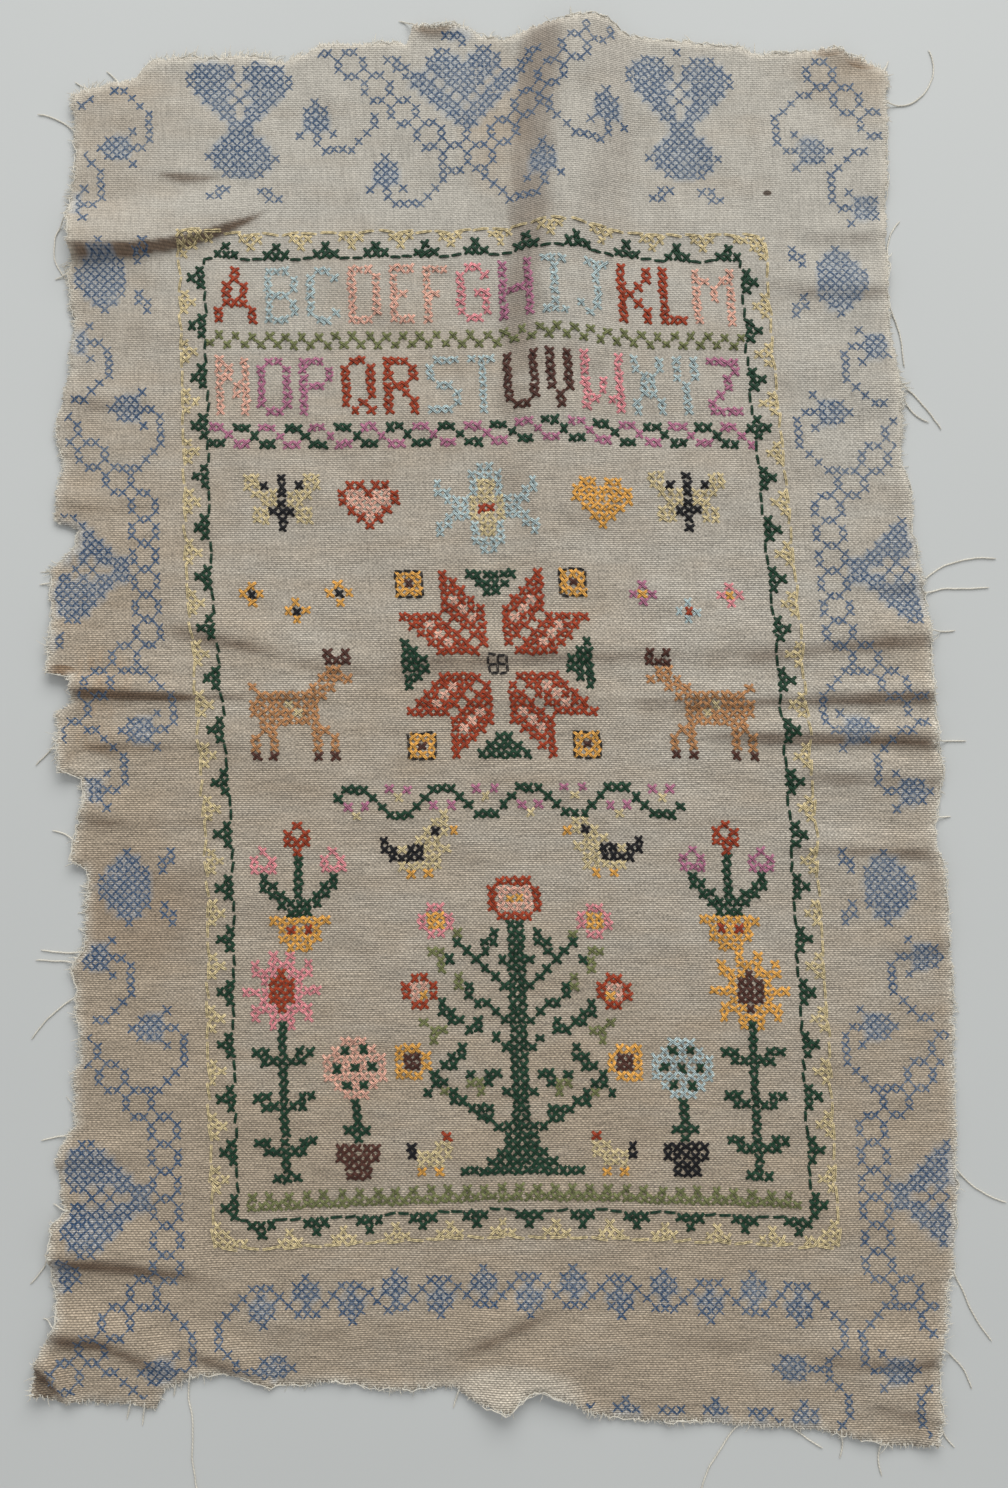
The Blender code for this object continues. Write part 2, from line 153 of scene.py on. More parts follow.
# Shallow creases that only the cloth shows, in the way of the folds. Their two sides are alike.
CREASES = [
    Fold("dimple left", (-134, 219), (-122, 215), (-106, 217), (0.0, 2.5, 0.0), 3, 8),
    Fold("dimple left, upper", (-120, 236), (-100, 232), (-74, 236), (0.0, 1.1, 0.0), 4, 9),
    Fold("top left slack", (-70, 258), (-58, 238), (-62, 214), (0.0, 1.7, 0.0), 8, 9),
    Fold("top slack", (-14, 262), (-22, 236), (-30, 214), (0.0, 1.9, 0.0), 7, 11),
    Fold("right of the ridge", (56, 262), (50, 236), (62, 204), (0.0, 1.7, 0.0), 6, 10),
    Fold("top right slack", (96, 250), (104, 226), (98, 204), (0.0, 1.5, 0.0), 8, 9),
    Fold("right shoulder, upper", (104, 196), (124, 190), (150, 196), (0.0, 2.3, 0.8), 5, 9),
    Fold("alphabet sway", (-60, 176), (-30, 160), (-12, 138), (0.0, 1.3, 0.0), 9, 10),
    Fold("above the bars, left", (-118, 44), (-84, 36), (-50, 28.5), (1.2, 3.4, 0.6), 6, 13),
    Fold("above the bars", (-44, 34), (10, 34), (76, 36), (0.6, 3.6, 0.6), 6, 15),
    Fold("above the bars, right", (72, 33), (118, 41), (168, 43), (0.4, 3.0, 3.4), 8, 15),
    Fold("under the bars, right", (76, -11), (120, -8), (168, -11), (0.0, 2.4, 1.4), 7, 8),
    Fold("right margin, step", (84, -36), (120, -36), (168, -39), (0.0, 2.0, 2.0), 5, 8),
    Fold("below the ridge", (10, 96), (20, 66), (8, 40), (0.5, 1.7, 0.0), 7, 9),
    Fold("left margin, high", (-166, 132), (-148, 127), (-128, 130), (1.0, 1.5, 0.0), 5, 9),
    Fold("left margin, middle", (-168, 92), (-146, 88), (-122, 94), (0.9, 1.3, 0.0), 5, 8),
    Fold("left field", (-112, 62), (-84, 50), (-52, 54), (0.0, 1.3, 0.0), 6, 9),
    Fold("centre slack, low", (-28, -20), (-8, -34), (6, -62), (0.0, 1.5, 0.0), 8, 9),
    Fold("under the bars, left", (-158, -24), (-128, -30), (-96, -26), (1.4, 1.5, 0.0), 5, 9),
    Fold("right field", (44, -16), (72, -30), (96, -24), (0.0, 1.3, 0.0), 6, 9),
    Fold("right margin, middle", (122, 62), (140, 56), (160, 62), (0.0, 1.7, 1.0), 5, 9),
    Fold("right margin, low", (122, -70), (142, -76), (164, -70), (0.0, 1.7, 0.9), 6, 10),
    Fold("left margin, low", (-158, -104), (-136, -110), (-112, -106), (0.8, 1.5, 0.0), 6, 9),
    Fold("left margin, lowest", (-160, -150), (-140, -146), (-118, -150), (1.0, 1.3, 0.0), 5, 8),
    Fold("field foot, left", (-84, -148), (-52, -156), (-30, -150), (0.0, 1.1, 0.0), 7, 9),
    Fold("bottom slack, left", (-96, -204), (-72, -212), (-44, -206), (0.0, 2.3, 0.0), 6, 10),
    Fold("bottom slack, middle", (-24, -220), (2, -207), (26, -194), (0.6, 3.8, 0.0), 7, 13),
    Fold("bottom tongue slack", (-6, -237), (20, -223), (52, -208), (1.6, 1.8, 0.0), 11, 15),
    Fold("corner drag, right", (-118, -213), (-104, -217), (-88, -225), (0.0, 4.6, 1.6), 5, 9),
    Fold("bottom slack, right", (48, -206), (72, -216), (98, -210), (0.0, 2.1, 0.0), 7, 10),
    Fold("right corner drag", (118, -236), (136, -232), (156, -240), (0.0, 1.9, 1.4), 5, 9),
    Fold("corner drag, upper", (-160, -214), (-146, -208), (-128, -210), (1.2, 1.9, 0.0), 5, 8),
    Fold("corner curl", (-171, -219), (-161, -222), (-155, -236), (2.4, 3.4, 1.6), 3, 7),
]

# The slack of the whole cloth: swells of this wave length, in two directions, and their height.
Swell = namedtuple("Swell", "length heading height phase")
SWELLS = [
    Swell(92, 24, 0.22, 0.4), Swell(71, 118, 0.22, 2.1), Swell(47, 71, 0.2, 4.4),
    Swell(34, -18, 0.2, 1.2), Swell(27, 62, 0.2, 3.3), Swell(20, 101, 0.13, 0.9),
    Swell(15, 38, 0.08, 5.1), Swell(11, 128, 0.04, 0.2),
]

# Each loose thread: its side, its place along that side, its length, the way it sets out and how
# far it turns on its way. Angles are in degrees, anticlockwise from +X.
Thread = namedtuple("Thread", "side at length heading curl")
THREADS = [
    Thread(*row)
    for row in (
        ("top", -158, 7, 148, -10), ("top", -147, 7, 128, 15), ("top", -34, 7, 152, 10),
        ("top", 26, 10, 92, -6), ("top", 145, 5, 70, 0), ("right", 245, 35, 340, 140),
        ("right", 184, 16, 84, -40), ("right", 166, 25, 298, -26), ("right", 136, 24, 322, -34),
        ("right", 131, 15, 300, 40), ("right", 104, 12, 300, -30), ("right", 60, 31, 40, -46),
        ("right", 56, 25, 14, -16), ("right", 42, 10, 2, 4), ("right", 1, 12, 6, -10),
        ("right", -27, 6, 0, 10), ("right", -153, 23, 312, 40), ("right", -189, 29, 298, 8),
        ("right", -216, 19, 328, -46), ("right", -243, 10, 300, 10), ("bottom", 134, 12, 262, 24),
        ("bottom", 120, 9, 276, -20), ("bottom", 103, 13, 318, 8), ("bottom", 84, 38, 222, 46),
        ("bottom", -16, 7, 250, 10), ("bottom", -112, 50, 268, 7), ("bottom", -117, 5, 258, 0),
        ("bottom", -128, 7, 262, -8), ("bottom", -133, 6, 250, 12), ("left", -208, 6, 160, 10),
        ("left", -184, 13, 236, -12), ("left", -168, 5, 150, 10), ("left", -142, 10, 188, 8),
        ("left", -92, 23, 214, 26), ("left", -76, 16, 186, -10), ("left", -80, 15, 176, 4),
        ("left", -36, 10, 138, 44), ("left", 0, 12, 208, 26), ("left", 60, 5, 178, 0),
        ("left", 178, 6, 200, 10), ("left", 199, 27, 216, 112), ("left", 233, 17, 134, 52),
    )
]
THREAD_STEP = 1.2  # the spacing of a thread's points
THREAD_DROP = 5.0  # the run in which a thread comes down to the floor
THREAD_WANDER = 3.5  # how far a thread strays from its heading at each point, in degrees
THREAD_SWERVE = 0.75  # how much of that it keeps to the next point
THREAD_ROOT = 1.6  # how far inside the torn edge a thread starts
ROOT_ABOVE, EDGE_ABOVE = 0.45, 0.35  # its height over the underside there and at the edge
THREAD_TIP = 0.35  # how thin its tip is, as a share of its thickness
LONG_ENDS, LONGEST_END = 0.02, 5.0  # the share of the thread ends that are long, and the longest
FLOATS_EVERY = 14  # one thread lies loose along the edge for so many of its points

GRID_STEP = 2.12  # the spacing of the cloth's points
NET_ACROSS, NET_UP = (-175, 175), (-260, 290)  # where they are laid out before the cloth is cut
CRISP = 4.6  # a fold whose steep side is no wider than this has points at half that spacing
CRISP_NEAR, CRISP_ABOVE = 45, 0.3  # within this of the fold's middle, and where it is this high
EDGE_STEP = 0.85  # the spacing of its points along a torn edge, about one thread of the linen
EDGE_JAG = 0.55  # how unevenly the threads of a torn edge end
EDGE_SEED, ENDS_SEED = 23, 31
CORNER_PASSES = 60  # a corner is closed in on by this many steps
EDGE_CLEAR = 1.2  # inner points keep this far from a torn edge
EDGE_PALE = 4.5  # how far in a torn edge looks worn
VIEW_HEIGHT = 480.0  # the cloth was measured from this far above
UNDER_CLEAR = 0.05  # the underside lies this much off the floor

# The oval spots of the linen, by kind: middle, half width, half height, how soft the rim is and how
# strong the spot is.
Spot = namedtuple("Spot", "x y wide high soft share", defaults=(0.5, 1.0))
SPOTS = {
    # Browned linen, and one spot of painted shade beside the centre ridge.
    "browned_and_ridge_shade": [
        Spot(-60, 70, 120, 130, 1.0, 0.25),
        Spot(140, 10, 80, 90, 1.0, 0.12),
        Spot(140, 258, 34, 26, 1.0, 0.7),
        # Painted shade on the left side of the centre ridge.
        Spot(-4, 236, 16, 36, 1.0, 0.7),
        Spot(100, -50, 90, 110, 1.0, -0.25),
    ],
    "rust": [Spot(-148, 22, 13, 15), Spot(-150, 2, 8, 6)],
    # Painted shade inside the curled bottom left corner.
    "curled corner": [Spot(-167, -230, 8, 8)],
    # Painted shade on the turned-over flaps of the top edge and under the curled lower edge of the tab over
    # the bars.
    "folded edge shade": [
        Spot(124, 266, 9, 4, 0.3),
        Spot(138, 261.5, 9, 4, 0.3),
        Spot(-28, 275, 9, 3.6),
        Spot(-164, 27, 7, 2.4),
    ],
    "speck": [Spot(99.5, 208.5, 1.9, 1.2)],
    # A patch of painted shade, on a slope low on the left that faces away from the light.
    "shaded slope patch": [Spot(-132, -60, 38, 26, 1.0)],
    "pale": [Spot(4, -232, 26, 11), Spot(-152, -10, 9, 8, share=0.5)],
}

# ---------------------------------------------------------------------------------------------
# The design: the worked grid, its charts and the stamped ones
# ---------------------------------------------------------------------------------------------

COLUMNS, ROWS = 64, 112  # the cells inside the green line
GRID_LEFT, GRID_TOP = -113.1, 184.3
CELL_WIDTH, CELL_HEIGHT = 3.18, 3.17
LEAN = 0.1715  # each row starts this much further right than the one above

# How far the sides of the worked field stray from that grid: the row or column, and the distance to
# the right for the left and right sides or upwards for the top and the foot.
STRAY = {
    "left": ((0, 0.2), (13, -1.2), (24, -1.5), (38, -2.1), (47, -0.7), (54, 0.6), (75, 1.5), (92, -0.6),
             (112, -1.1)),
    "right": ((0, -1.4), (13, -1.0), (30, 0.8), (40, 0.9), (55, 2.3), (69, 2.9), (80, 2.5), (112, 0.4)),
    "top": ((0, -0.3), (10, -1.8), (20, -0.6), (32, -0.2), (38, 1.9), (42, 2.0), (48, -0.5), (64, -1.9)),
    "foot": ((0, -1.2), (8, 0.1), (20, 2.0), (27, 3.2), (38, 2.8), (48, 1.4), (57, 0.8), (64, -0.5)),
}
STRAY_OUTSIDE = 12  # the sides' straying dies away over this many cells outside the field
BOW = 1.2  # how far the margins bow to the right halfway down
WOBBLE = 0.25  # how far the grid's lines wander

FLOSS = {
    "g": "deep_green", "o": "olive", "b": "brick", "s": "salmon", "p": "pink", "m": "mauve",
    "l": "pale_blue", "c": "cream", "y": "gold", "n": "brown", "k": "black", "t": "tan",
}

LETTERS = {
    "A": "..#.. ..#.. .#.#. .#.#. .###. #...# #...#",
    "B": "###. #..# #..# ###. #..# #..# ###.",
    "C": ".##. #..# #... #... #... #..# .##.",
    "D": "###. #..# #..# #..# #..# #..# ###.",
    "E": "### #.. #.. ##. #.. #.. ###",
    "F": "### #.. #.. ##. #.. #.. #..",
    "G": ".##. #..# #... #.## #..# #..# .##.",
    "H": "#..# #..# #..# #### #..# #..# #..#",
    "I": "### .#. .#. .#. .#. .#. ###",
    "J": ".### ..#. ..#. ..#. ..#. #.#. .#..",
    "K": "#..# #..# #.#. ##.. #.#. #..# #..#",
    "L": "#.. #.. #.. #.. #.. #.. ###",
    "M": "#...# ##.## #.#.# #.#.# #...# #...# #...#",
    "N": "#..# ##.# ##.# #.## #.## #..# #..#",
    "O": ".##. #..# #..# #..# #..# #..# .##.",
    "P": "###. #..# #..# ###. #... #... #...",
    "Q": ".##. #..# #..# #..# #..# #.#. .#.#",
    "R": "###. #..# #..# ###. #.#. #..# #..#",
    "S": ".### #... #... .##. ...# ...# ###.",
    "T": "### .#. .#. .#. .#. .#. .#.",
    "U": "#..# #..# #..# #..# #..# #..# .##.",
    "V": "#.# #.# #.# #.# #.# .#. .#.",
    "W": "#...# #...# #...# #.#.# #.#.# ##.## #...#",
    "X": "#..# #..# .##. .##. .##. #..# #..#",
    "Y": "#.# #.# #.# .#. .#. .#. .#.",
    "Z": "#### ...# ..#. ..#. .#.. #... ####",
}
# Each row of letters: the letters, the floss of each, and the first grid row.
AlphabetRow = namedtuple("AlphabetRow", "letters floss row")
ALPHABET = [
    AlphabetRow("ABCDEFGHIJKLM", "bllssspmllbbs", 1),
    AlphabetRow("NOPQRSTUVWXYZ", "smmbbllnnpllm", 12),
]
ZIGZAG_ROW = 9  # the first row of the olive zigzag between the letters
WAVE_ROW = 20  # the first row of the green and mauve wave under them
FOOT_ROW = 110  # the full row of the olive band at the foot

# A motif's chart, whole or the left half of it. An "even" half is mirrored with its last column,
# an "odd" one without. A letter is the floss of a cross, x is a stamped cross and . is bare cloth.
Motif = namedtuple("Motif", "fold chart")
MOTIFS = {
    "star": Motif("even", """
        ......l .....ll .l...lc .ll..lc ..lllcc ...llcb ..lllcc .ll..lc .l...lc .....ll ......l"""),
    "tree": Motif("even", """
        ............bb
        ...........bss
        ...........bsy
        ....pp.....bss
        ...pyyp.....bb
        ...pyyp......g
        ....pp.o...g.g
        .......g..gg.g
        ....oo..g.g..g
        .....og..g..gg
        .....o....g..g
        ..bb...o...g.g
        .bssb..og...gg
        .bsyb...g....g
        ..bb.g...gg..g
        .....gg....g.g
        ...o..gg.g..gg
        ....oo..gg...g
        ....o......g.g
        yyy....g....gg
        ynny..gg.....g
        ynny.gg......g
        yyy.g...g.gg.g
        ....gg..oog..g
        ...g.og..o..gg
        ......gg.....g
        ........ggg..g
        .........gg..g
        ...........ggg
        ............gg
        ............gg
        ...........ggg
        ..........gggg
        .......ggggggg"""),
    "deer": Motif("whole", """
        .........n.n .........nnn .........tt. ........tttt t......ttt.. .tttttttt... ttttcttt....
        tttttctt.... .ttttttt.... .tt....tt... t.t....t.t.. t.t....t.t.. n.n....n.n.."""),
    "butterfly": Motif("odd", "cc..k cck.k .ccck ..cck .cckk .cc.k ....k"),
    "plain heart": Motif("odd", ".bb. bssb bsss .bss ..bs ...b"),
    "tulip pot": Motif("odd", """
        .....b ....b. ....bb .p...b p.p..g ppp..g .g...g .gg..g ..gg.g ...ggg ....gg ..yyyy
        ...yby ...yyy ....yy"""),
    "songbird": Motif("whole", """
        ......cc. .....ckcy k...ccc.. kkckkccc. .kkkkcc.. ..ccccc.. ...y.y..."""),
    "vine": Motif("whole", ".ggg..m.m. g...g..c.. .m.m.g...g ..c...ggg."),
    "rose block": Motif("even", """
        yyy..b..ggg yny..bb..gg yyy..bbb..g .....bsbb.. .....bbsbb. bbbbb.bbsb. .bbsbb.bbb.
        ..bbsbb.bb. g..bbsbb.b. gg..bbbbb.. ggg........ ggg........ gg..bbbbb.. g..bbsbb.b.
        ..bbsbb.bb. .bbsbb.bbb. bbbbb.bbsb. .....bbsbb. .....bsbb.. yyy..bbb..g yny..bb..gg
        yyy..b..ggg"""),
    "sunflower": Motif("odd", """
        ...p. .p.pp .pppb ..pbb pppbb ..pbb .pppb .p.pp ...pg ....g ....g .gg.g ..ggg ....g ....g
        ....g .gg.g ..ggg ....g ....g ....g .gg.g ..ggg ....g ....g ...gg"""),
    "rose tree": Motif("odd", """
        ..ss .sgs ssss sgsg ssss .sgs ..ss ...g ...g ...g ..gg ...g .nnn .nnn ..nn ..nn"""),
    "hen": Motif("whole", "....b k..cc kcccc .ccc. .y.y."),
    "daisy": Motif("whole", ".y. yky .y."),
    "heart": Motif("odd", """
        ..xxx.. .xxxxx. xxxxxx. xxxxx.x .xxxxx. ..xxx.x ...xxx. ....xx. .....xx ......x"""),
    "tail": Motif("whole", "xx. ..x xx."),
    "sprig": Motif("whole", "x.x .x."),
    "acorn": Motif("odd", "...xx ..xxx .xxxx xxxxx .xxxx ..xxx ..... .xx.. xx..."),
    "curl": Motif("whole", """
        ..x....... .xxx...... .xxx.....x .xxx.....x x.x.x...x. ..x....x.. ...xxxx..."""),
    "ring": Motif("even", ".x x. x. .x"),
    "bud": Motif("whole", "xxx. xxxx xxxx xxx."),
    "fan": Motif("odd", """
        ...............xx ..............xxx ................x ..xx.........xx..
        .x..x..xx...xxxx. .x..x...xx..xxxxx ..xx.xx..xxx.xxxx ....x..x..xxx.xxx
        ....x..x...xxx.xx .....xx.xx..xxx.x .......x..x..xxx. .......x..x...xxx
        ........xx.xx..xx ..........x..x..x ..........x..x..x ...........xx.xx.
        .............x..x .............x..x ..............xx."""),
    "flower row": Motif("whole", """
        .......x.. .xxx..xxx. x.x.x.xxx. .xxx.x.x.x .xxx..xxx. ..x......."""),
    "last flower": Motif("whole", "..... .xxx. x.x.x .xxx. .xxx. ..x.."),
    "end scroll": Motif("whole", """
        ..x...... .x....... x........ x........ x........ .x....... ..x..xxx. ..xxxxxxx
        ..x..xxx. .x....... x........ x........ x........ .x....... ..x......"""),
}

# Where a worked motif stands: its first column and row, and the floss changes of the mirrored copy
# on the other side of the field. None leaves the copy out.
Place = namedtuple("Place", "motif column row twin", defaults=(None,))
PLACES = [
    Place("star", 25, 25),
    Place("butterfly", 4, 26, {}),
    Place("plain heart", 15, 27, {"b": "y", "s": "y"}),
    Place("rose block", 21, 38),
    Place("daisy", 3, 39, {"y": "p", "k": "y"}),
    Place("daisy", 8, 41, {"y": "l", "k": "b"}),
    Place("daisy", 13, 39, {"y": "m", "k": "y"}),
    Place("deer", 3, 47, {}),
    *(Place("vine", column, 63) for column in (12, 22, 32, 42)),
    Place("tulip pot", 2, 67, {"p": "m"}),
    Place("songbird", 17, 67, {}),
    Place("tree", 18, 74),
    Place("sunflower", 1, 82, {"p": "y", "b": "n"}),
    Place("rose tree", 10, 92, {"s": "l", "n": "k"}),
    Place("hen", 19, 103, {}),
]

# Where a stamped motif lies: its first column and row once turned, its quarter turns anticlockwise,
# whether it is flipped first, and the sum of a column and its mirrored twin's, or 0 for no twin.
Stamp = namedtuple("Stamp", "motif column row turn flip twin", defaults=(0, False, 63))
STAMPS = [
    Stamp("heart", -1, -25),
    Stamp("acorn", 1, -16),
    Stamp("sprig", 4, -27),
    Stamp("curl", 12, -20),
    Stamp("curl", 20, -13),
    Stamp("fan", 16, -29, twin=0),
    Stamp("ring", 14, -29, twin=64),
    Stamp("curl", -12, -21, turn=1),
    Stamp("curl", -18, -14, turn=1),
    Stamp("end scroll", -3, 121, twin=64),
    Stamp("last flower", 60, 118, twin=0),
    Stamp("last flower", 0, 132, turn=2, twin=0),
]
STAMPS += [Stamp("ring", -13 - 3 * i, -25 + 3 * i) for i in range(4)]
STAMPS += [Stamp("flower row", 10 * i, 118, twin=0) for i in range(6)]
STAMPS += [Stamp("flower row", 10 * i - 5, 132, turn=2, twin=0) for i in range(1, 7)]
# The side margins' motifs, once beside the upper half of the field and once beside the lower.
for low in (0, 72):
    STAMPS += [
        Stamp("acorn", -15, low - 2, turn=1),
        Stamp("curl", -18, low + 8, turn=1, flip=True),
        Stamp("curl", -12, low + 16, turn=1, flip=True),
        Stamp("heart", -20, low + 31, turn=1),
        Stamp("tail", -12, low + 36, turn=2),
        Stamp("bud", -22, low + 44),
        Stamp("curl", -12, low + 49, turn=1),
        Stamp("curl", -18, low + 56, turn=1),
    ]
    STAMPS += [Stamp("ring", -10, low + 28 + 3 * i) for i in range(6)]
    for i in range(1, 5):
        STAMPS += [Stamp("ring", -10 - 3 * i, low + row) for row in (28 - 3 * i, 43 + 3 * i)]
STAMP_SEED = 41
STAMP_SHIFT = -0.44  # the stamping lies this many cells off the worked grid
STAMP_INSET = 1.3  # a stamped arm keeps this far from a torn edge
STAMP_ASTRAY, STAMP_SKEW = 0.13, 0.05  # how far a cross is off its place, and off its line in radians
STAMP_SPANS = (0.82, 1.02)  # how much of its cell a cross spans
STAMP_CLEAR = 4  # the margin's stamping starts this many cells outside the green line
WASH_FULL, WASH_FADE = 1.3, 1.4  # the print's wash is full this near a cross and fades over the next
WASH_CROSSES = 6  # a cross has such a wash where it and its neighbours are at least this many

# The outlined panes of the rose block: their edges, and whether a cross of bars divides them.
Opening = namedtuple("Opening", "left top right bottom barred", defaults=(False,))
OPENINGS = [
    *(Opening(left, top, left + 3, top + 3) for top in (38, 57) for left in (21, 40)),
    Opening(31, 48, 33, 50, barred=True),
]

# Each floss: how plump its strands are against the usual ones.
PLUMP = {
    "l": 0.92, "s": 1.0, "c": 1.0, "p": 1.08, "m": 1.1, "g": 1.42, "b": 1.34, "n": 1.3, "k": 1.25, "y": 1.2,
    "o": 1.2, "t": 1.2,
}
BORDER_EVERY = 6  # cells from one border sprig to the next
BORDER_FIRST = 2
CREAM_FIRST = 5
BORDER_DASHES = ((4.06, 5.42), (5.6, 6.94))  # the green line between two sprigs, in cells
SHORTEST_DASH = 0.5
CREAM_OUT = 3.05  # how many cells the cream line lies outside the green one
CREAM_DASH = 2.3  # from one running stitch of the cream line to the next, in cells
CREAM_COVER = 0.93  # how much of that a stitch covers
CREAM_PLUMP = 0.85  # how plump its strands are against the usual ones
THIN = 0.7  # the same for the strands of the outlined panes
STITCH_ASTRAY = 0.3  # how far a stitch lies off its place at most
STITCH_TURN = 0.2  # how far a leg is turned off its line at most, in radians

# ---------------------------------------------------------------------------------------------
# Colours and sizes that a user would change
# ---------------------------------------------------------------------------------------------


def linear(*levels):
    """A colour given in 0 to 255 display levels, as linear light."""
    return tuple(
        level / 255 / 12.92 if level <= 10 else ((level / 255 + 0.055) / 1.055) ** 2.4
        for level in levels
    )


def colour(label, description, *levels):
    return bpy.props.FloatVectorProperty(
        name=label,
        description=description,
        default=linear(*levels),
        size=3,
        min=0,
        max=1,
        subtype="COLOR",
    )


def size(label, description, millimetres):
    return bpy.props.FloatProperty(
        name=label,
        description=description,
        default=millimetres * MM,
        min=0,
        unit="LENGTH",
        subtype="DISTANCE",
    )


FLOOR_REACH = 3.0  # metres, like the window's sizes
WINDOW_SIZE = (2.4, 1.6)
WINDOW_PLACE = (0.35, 2.1, 1.5)


class SamplerCloth(bpy.types.PropertyGroup):
    """The linen and what is stamped on it."""

    thickness: size("Thickness", "Thickness of the linen", 0.6)
    thread: size("Thread pitch", "From one thread of the weave to the next", 0.76)
    # The top's paler, greyer linen is in part its own tone and in part a painted sheen of the sky.
    linen: colour("Linen", "The clean grey oatmeal of the top", 192, 186, 174)
    shade: colour("Browned linen", "The browner linen of the left side and the foot", 179, 163, 142)
    worn: colour("Worn edge", "The pale threads of a torn edge", 226, 217, 200)
    ink: colour("Stamping ink", "The blue of the stamped crosses", 52, 78, 110)
    ink_width: size("Stamped line", "Width of a stamped line at its middle", 0.9)
    ink_relief: size("Stamped relief", "How far the ink stands on the cloth", 0.06)


class SamplerFloss(bpy.types.PropertyGroup):
    """The floss of the worked crosses."""

    strand: size("Strand", "Thickness of one strand of floss", 0.6)
    lift: size("Lift", "How far a leg stands off the cloth at its middle", 0.34)
    deep_green: colour("Deep green", "Borders, stems and the tree", 26, 62, 42)
    olive: colour("Olive", "Bands and small leaves", 120, 124, 80)
    brick: colour("Brick", "Red letters and the rose block", 160, 62, 32)
    salmon: colour("Salmon", "Peach letters and blossoms", 238, 184, 162)
    pink: colour("Pink", "Pink letters and petals", 234, 152, 156)
    mauve: colour("Mauve", "Mauve letters and buds", 184, 118, 144)
    pale_blue: colour("Pale blue", "Blue letters and the star", 188, 206, 206)
    cream: colour("Cream", "The outer border and the birds", 222, 203, 156)
    gold: colour("Gold", "Petals and pots", 232, 172, 84)
    brown: colour("Brown", "Dark letters, centres and hoofs", 84, 50, 40)
    black: colour("Black", "Wings and outlined panes", 22, 22, 26)
    tan: colour("Tan", "The deer", 190, 138, 92)


class SamplerFray(bpy.types.PropertyGroup):
    """The ravelled edges."""

    end: size("Thread end", "Thickness of a thread end of the torn edge", 0.4)
    loose: size("Loose thread", "Thickness of a loose thread", 0.66)
    reach: size("Ravelling", "Mean reach of the thread ends", 1.1)
    ravelled: colour("Ravelled linen", "The pale threads outside the cloth", 232, 226, 212)


class SamplerStage(bpy.types.PropertyGroup):
    """The floor, the light and the camera."""

    floor: colour("Floor", "The pale surface under the cloth", 206, 208, 206)
    sky: bpy.props.FloatProperty(
        name="Soft light", description="Strength of the light from all round", default=0.48, min=0
    )
    window: bpy.props.FloatProperty(
        name="Window light",
        description="Power of the broad light above the top edge",
        default=54.0,
        min=0,
        unit="POWER",
    )
    distance: size("Camera distance", "From the camera to the middle of the cloth", 480)
    tilt: bpy.props.FloatProperty(
        name="Camera tilt",
        description="How far the camera stands off the upright, towards the bottom edge",
        default=math.radians(3.8),
        subtype="ANGLE",
    )
    lens: bpy.props.FloatProperty(
        name="Lens", description="Focal length for a 36 mm frame", default=31.45, unit="CAMERA"
    )


# ---------------------------------------------------------------------------------------------
# The shape of the cloth
# ---------------------------------------------------------------------------------------------


def ease(t):
    """A smooth step from 0 to 1."""
    t = np.clip(t, 0, 1)
    return t * t * (3 - 2 * t)


def fold_height(fold, x, y):
    """The height of one fold over the points x, y."""
    t = np.linspace(0, 1, FOLD_SAMPLES)[:, None, None]
    ends = (1 - t) ** 2, 2 * t * (1 - t), t**2
    px, py = (
        sum(w * p[axis] for w, p in zip(ends, (fold.start, fold.via, fold.end)))
        for axis in (0, 1)
    )
    crest = sum(w * h for w, h in zip(ends, fold.heights))
    dx, dy = x[None] - px, y[None] - py
    nearest = np.argmin(dx**2 + dy**2, axis=0)[None]
    run_x, run_y = np.gradient(px[:, 0, 0]), np.gradient(py[:, 0, 0])
    rx, ry = run_x[nearest[0]], run_y[nearest[0]]
    off_x = np.take_along_axis(dx, nearest, 0)[0]
    off_y = np.take_along_axis(dy, nearest, 0)[0]
    across = (rx * off_y - ry * off_x) / np.hypot(rx, ry)
    past_end = np.sqrt(np.maximum(off_x**2 + off_y**2 - across**2, 0))
    past_end = np.where((nearest[0] == 0) | (nearest[0] == FOLD_SAMPLES - 1), past_end, 0)
    reach = np.where(across < 0, fold.steep, fold.soft)
    side_fall = ease(1 - np.abs(across) / reach)
    end_fall = ease(1 - past_end / fold.soft)
    return crest[:, 0, 0][nearest[0]] * side_fall * end_fall


def cloth_height(x, y):
    """How far the folds and lifted edges hold the cloth off the floor, over arrays of points."""
    x, y = np.atleast_2d(x), np.atleast_2d(y)
    folds = np.zeros_like(x, dtype=float)
    for fold in FOLDS:
        folds = np.maximum(folds, fold_height(fold, x, y))
    lifts = np.zeros_like(folds)
    for lift in LIFTS:
        far = np.hypot(x - lift.x, y - lift.y) / lift.reach
        lifts = np.maximum(lifts, lift.height * ease(1 - far))
    return np.maximum(np.maximum(folds, lifts) - FLAT_BELOW, 0)


def underside(x, y):
    """The height of the cloth's underside with its shallow creases and slack, in millimetres."""
    x, y = np.atleast_1d(x).astype(float), np.atleast_1d(y).astype(float)
    height = cloth_height(x, y)[0]
    for crease in CREASES:
        height = height + fold_height(crease, x[None], y[None])[0]
    slack = np.zeros_like(x)
    for swell in SWELLS:
        angle = math.radians(swell.heading)
        run = x * math.cos(angle) + y * math.sin(angle)
        bend = 1.3 * np.sin((y - x) / (1.9 * swell.length)) + 0.9 * np.sin((x + 2 * y) / 61 + swell.phase)
        slack += swell.height * np.sin(math.tau * run / swell.length + swell.phase + bend)
    lowest = sum(swell.height for swell in SWELLS)
    return height + ease((slack + lowest) / (2 * lowest)) * 2 * lowest * SLACK_SHARE + UNDER_CLEAR


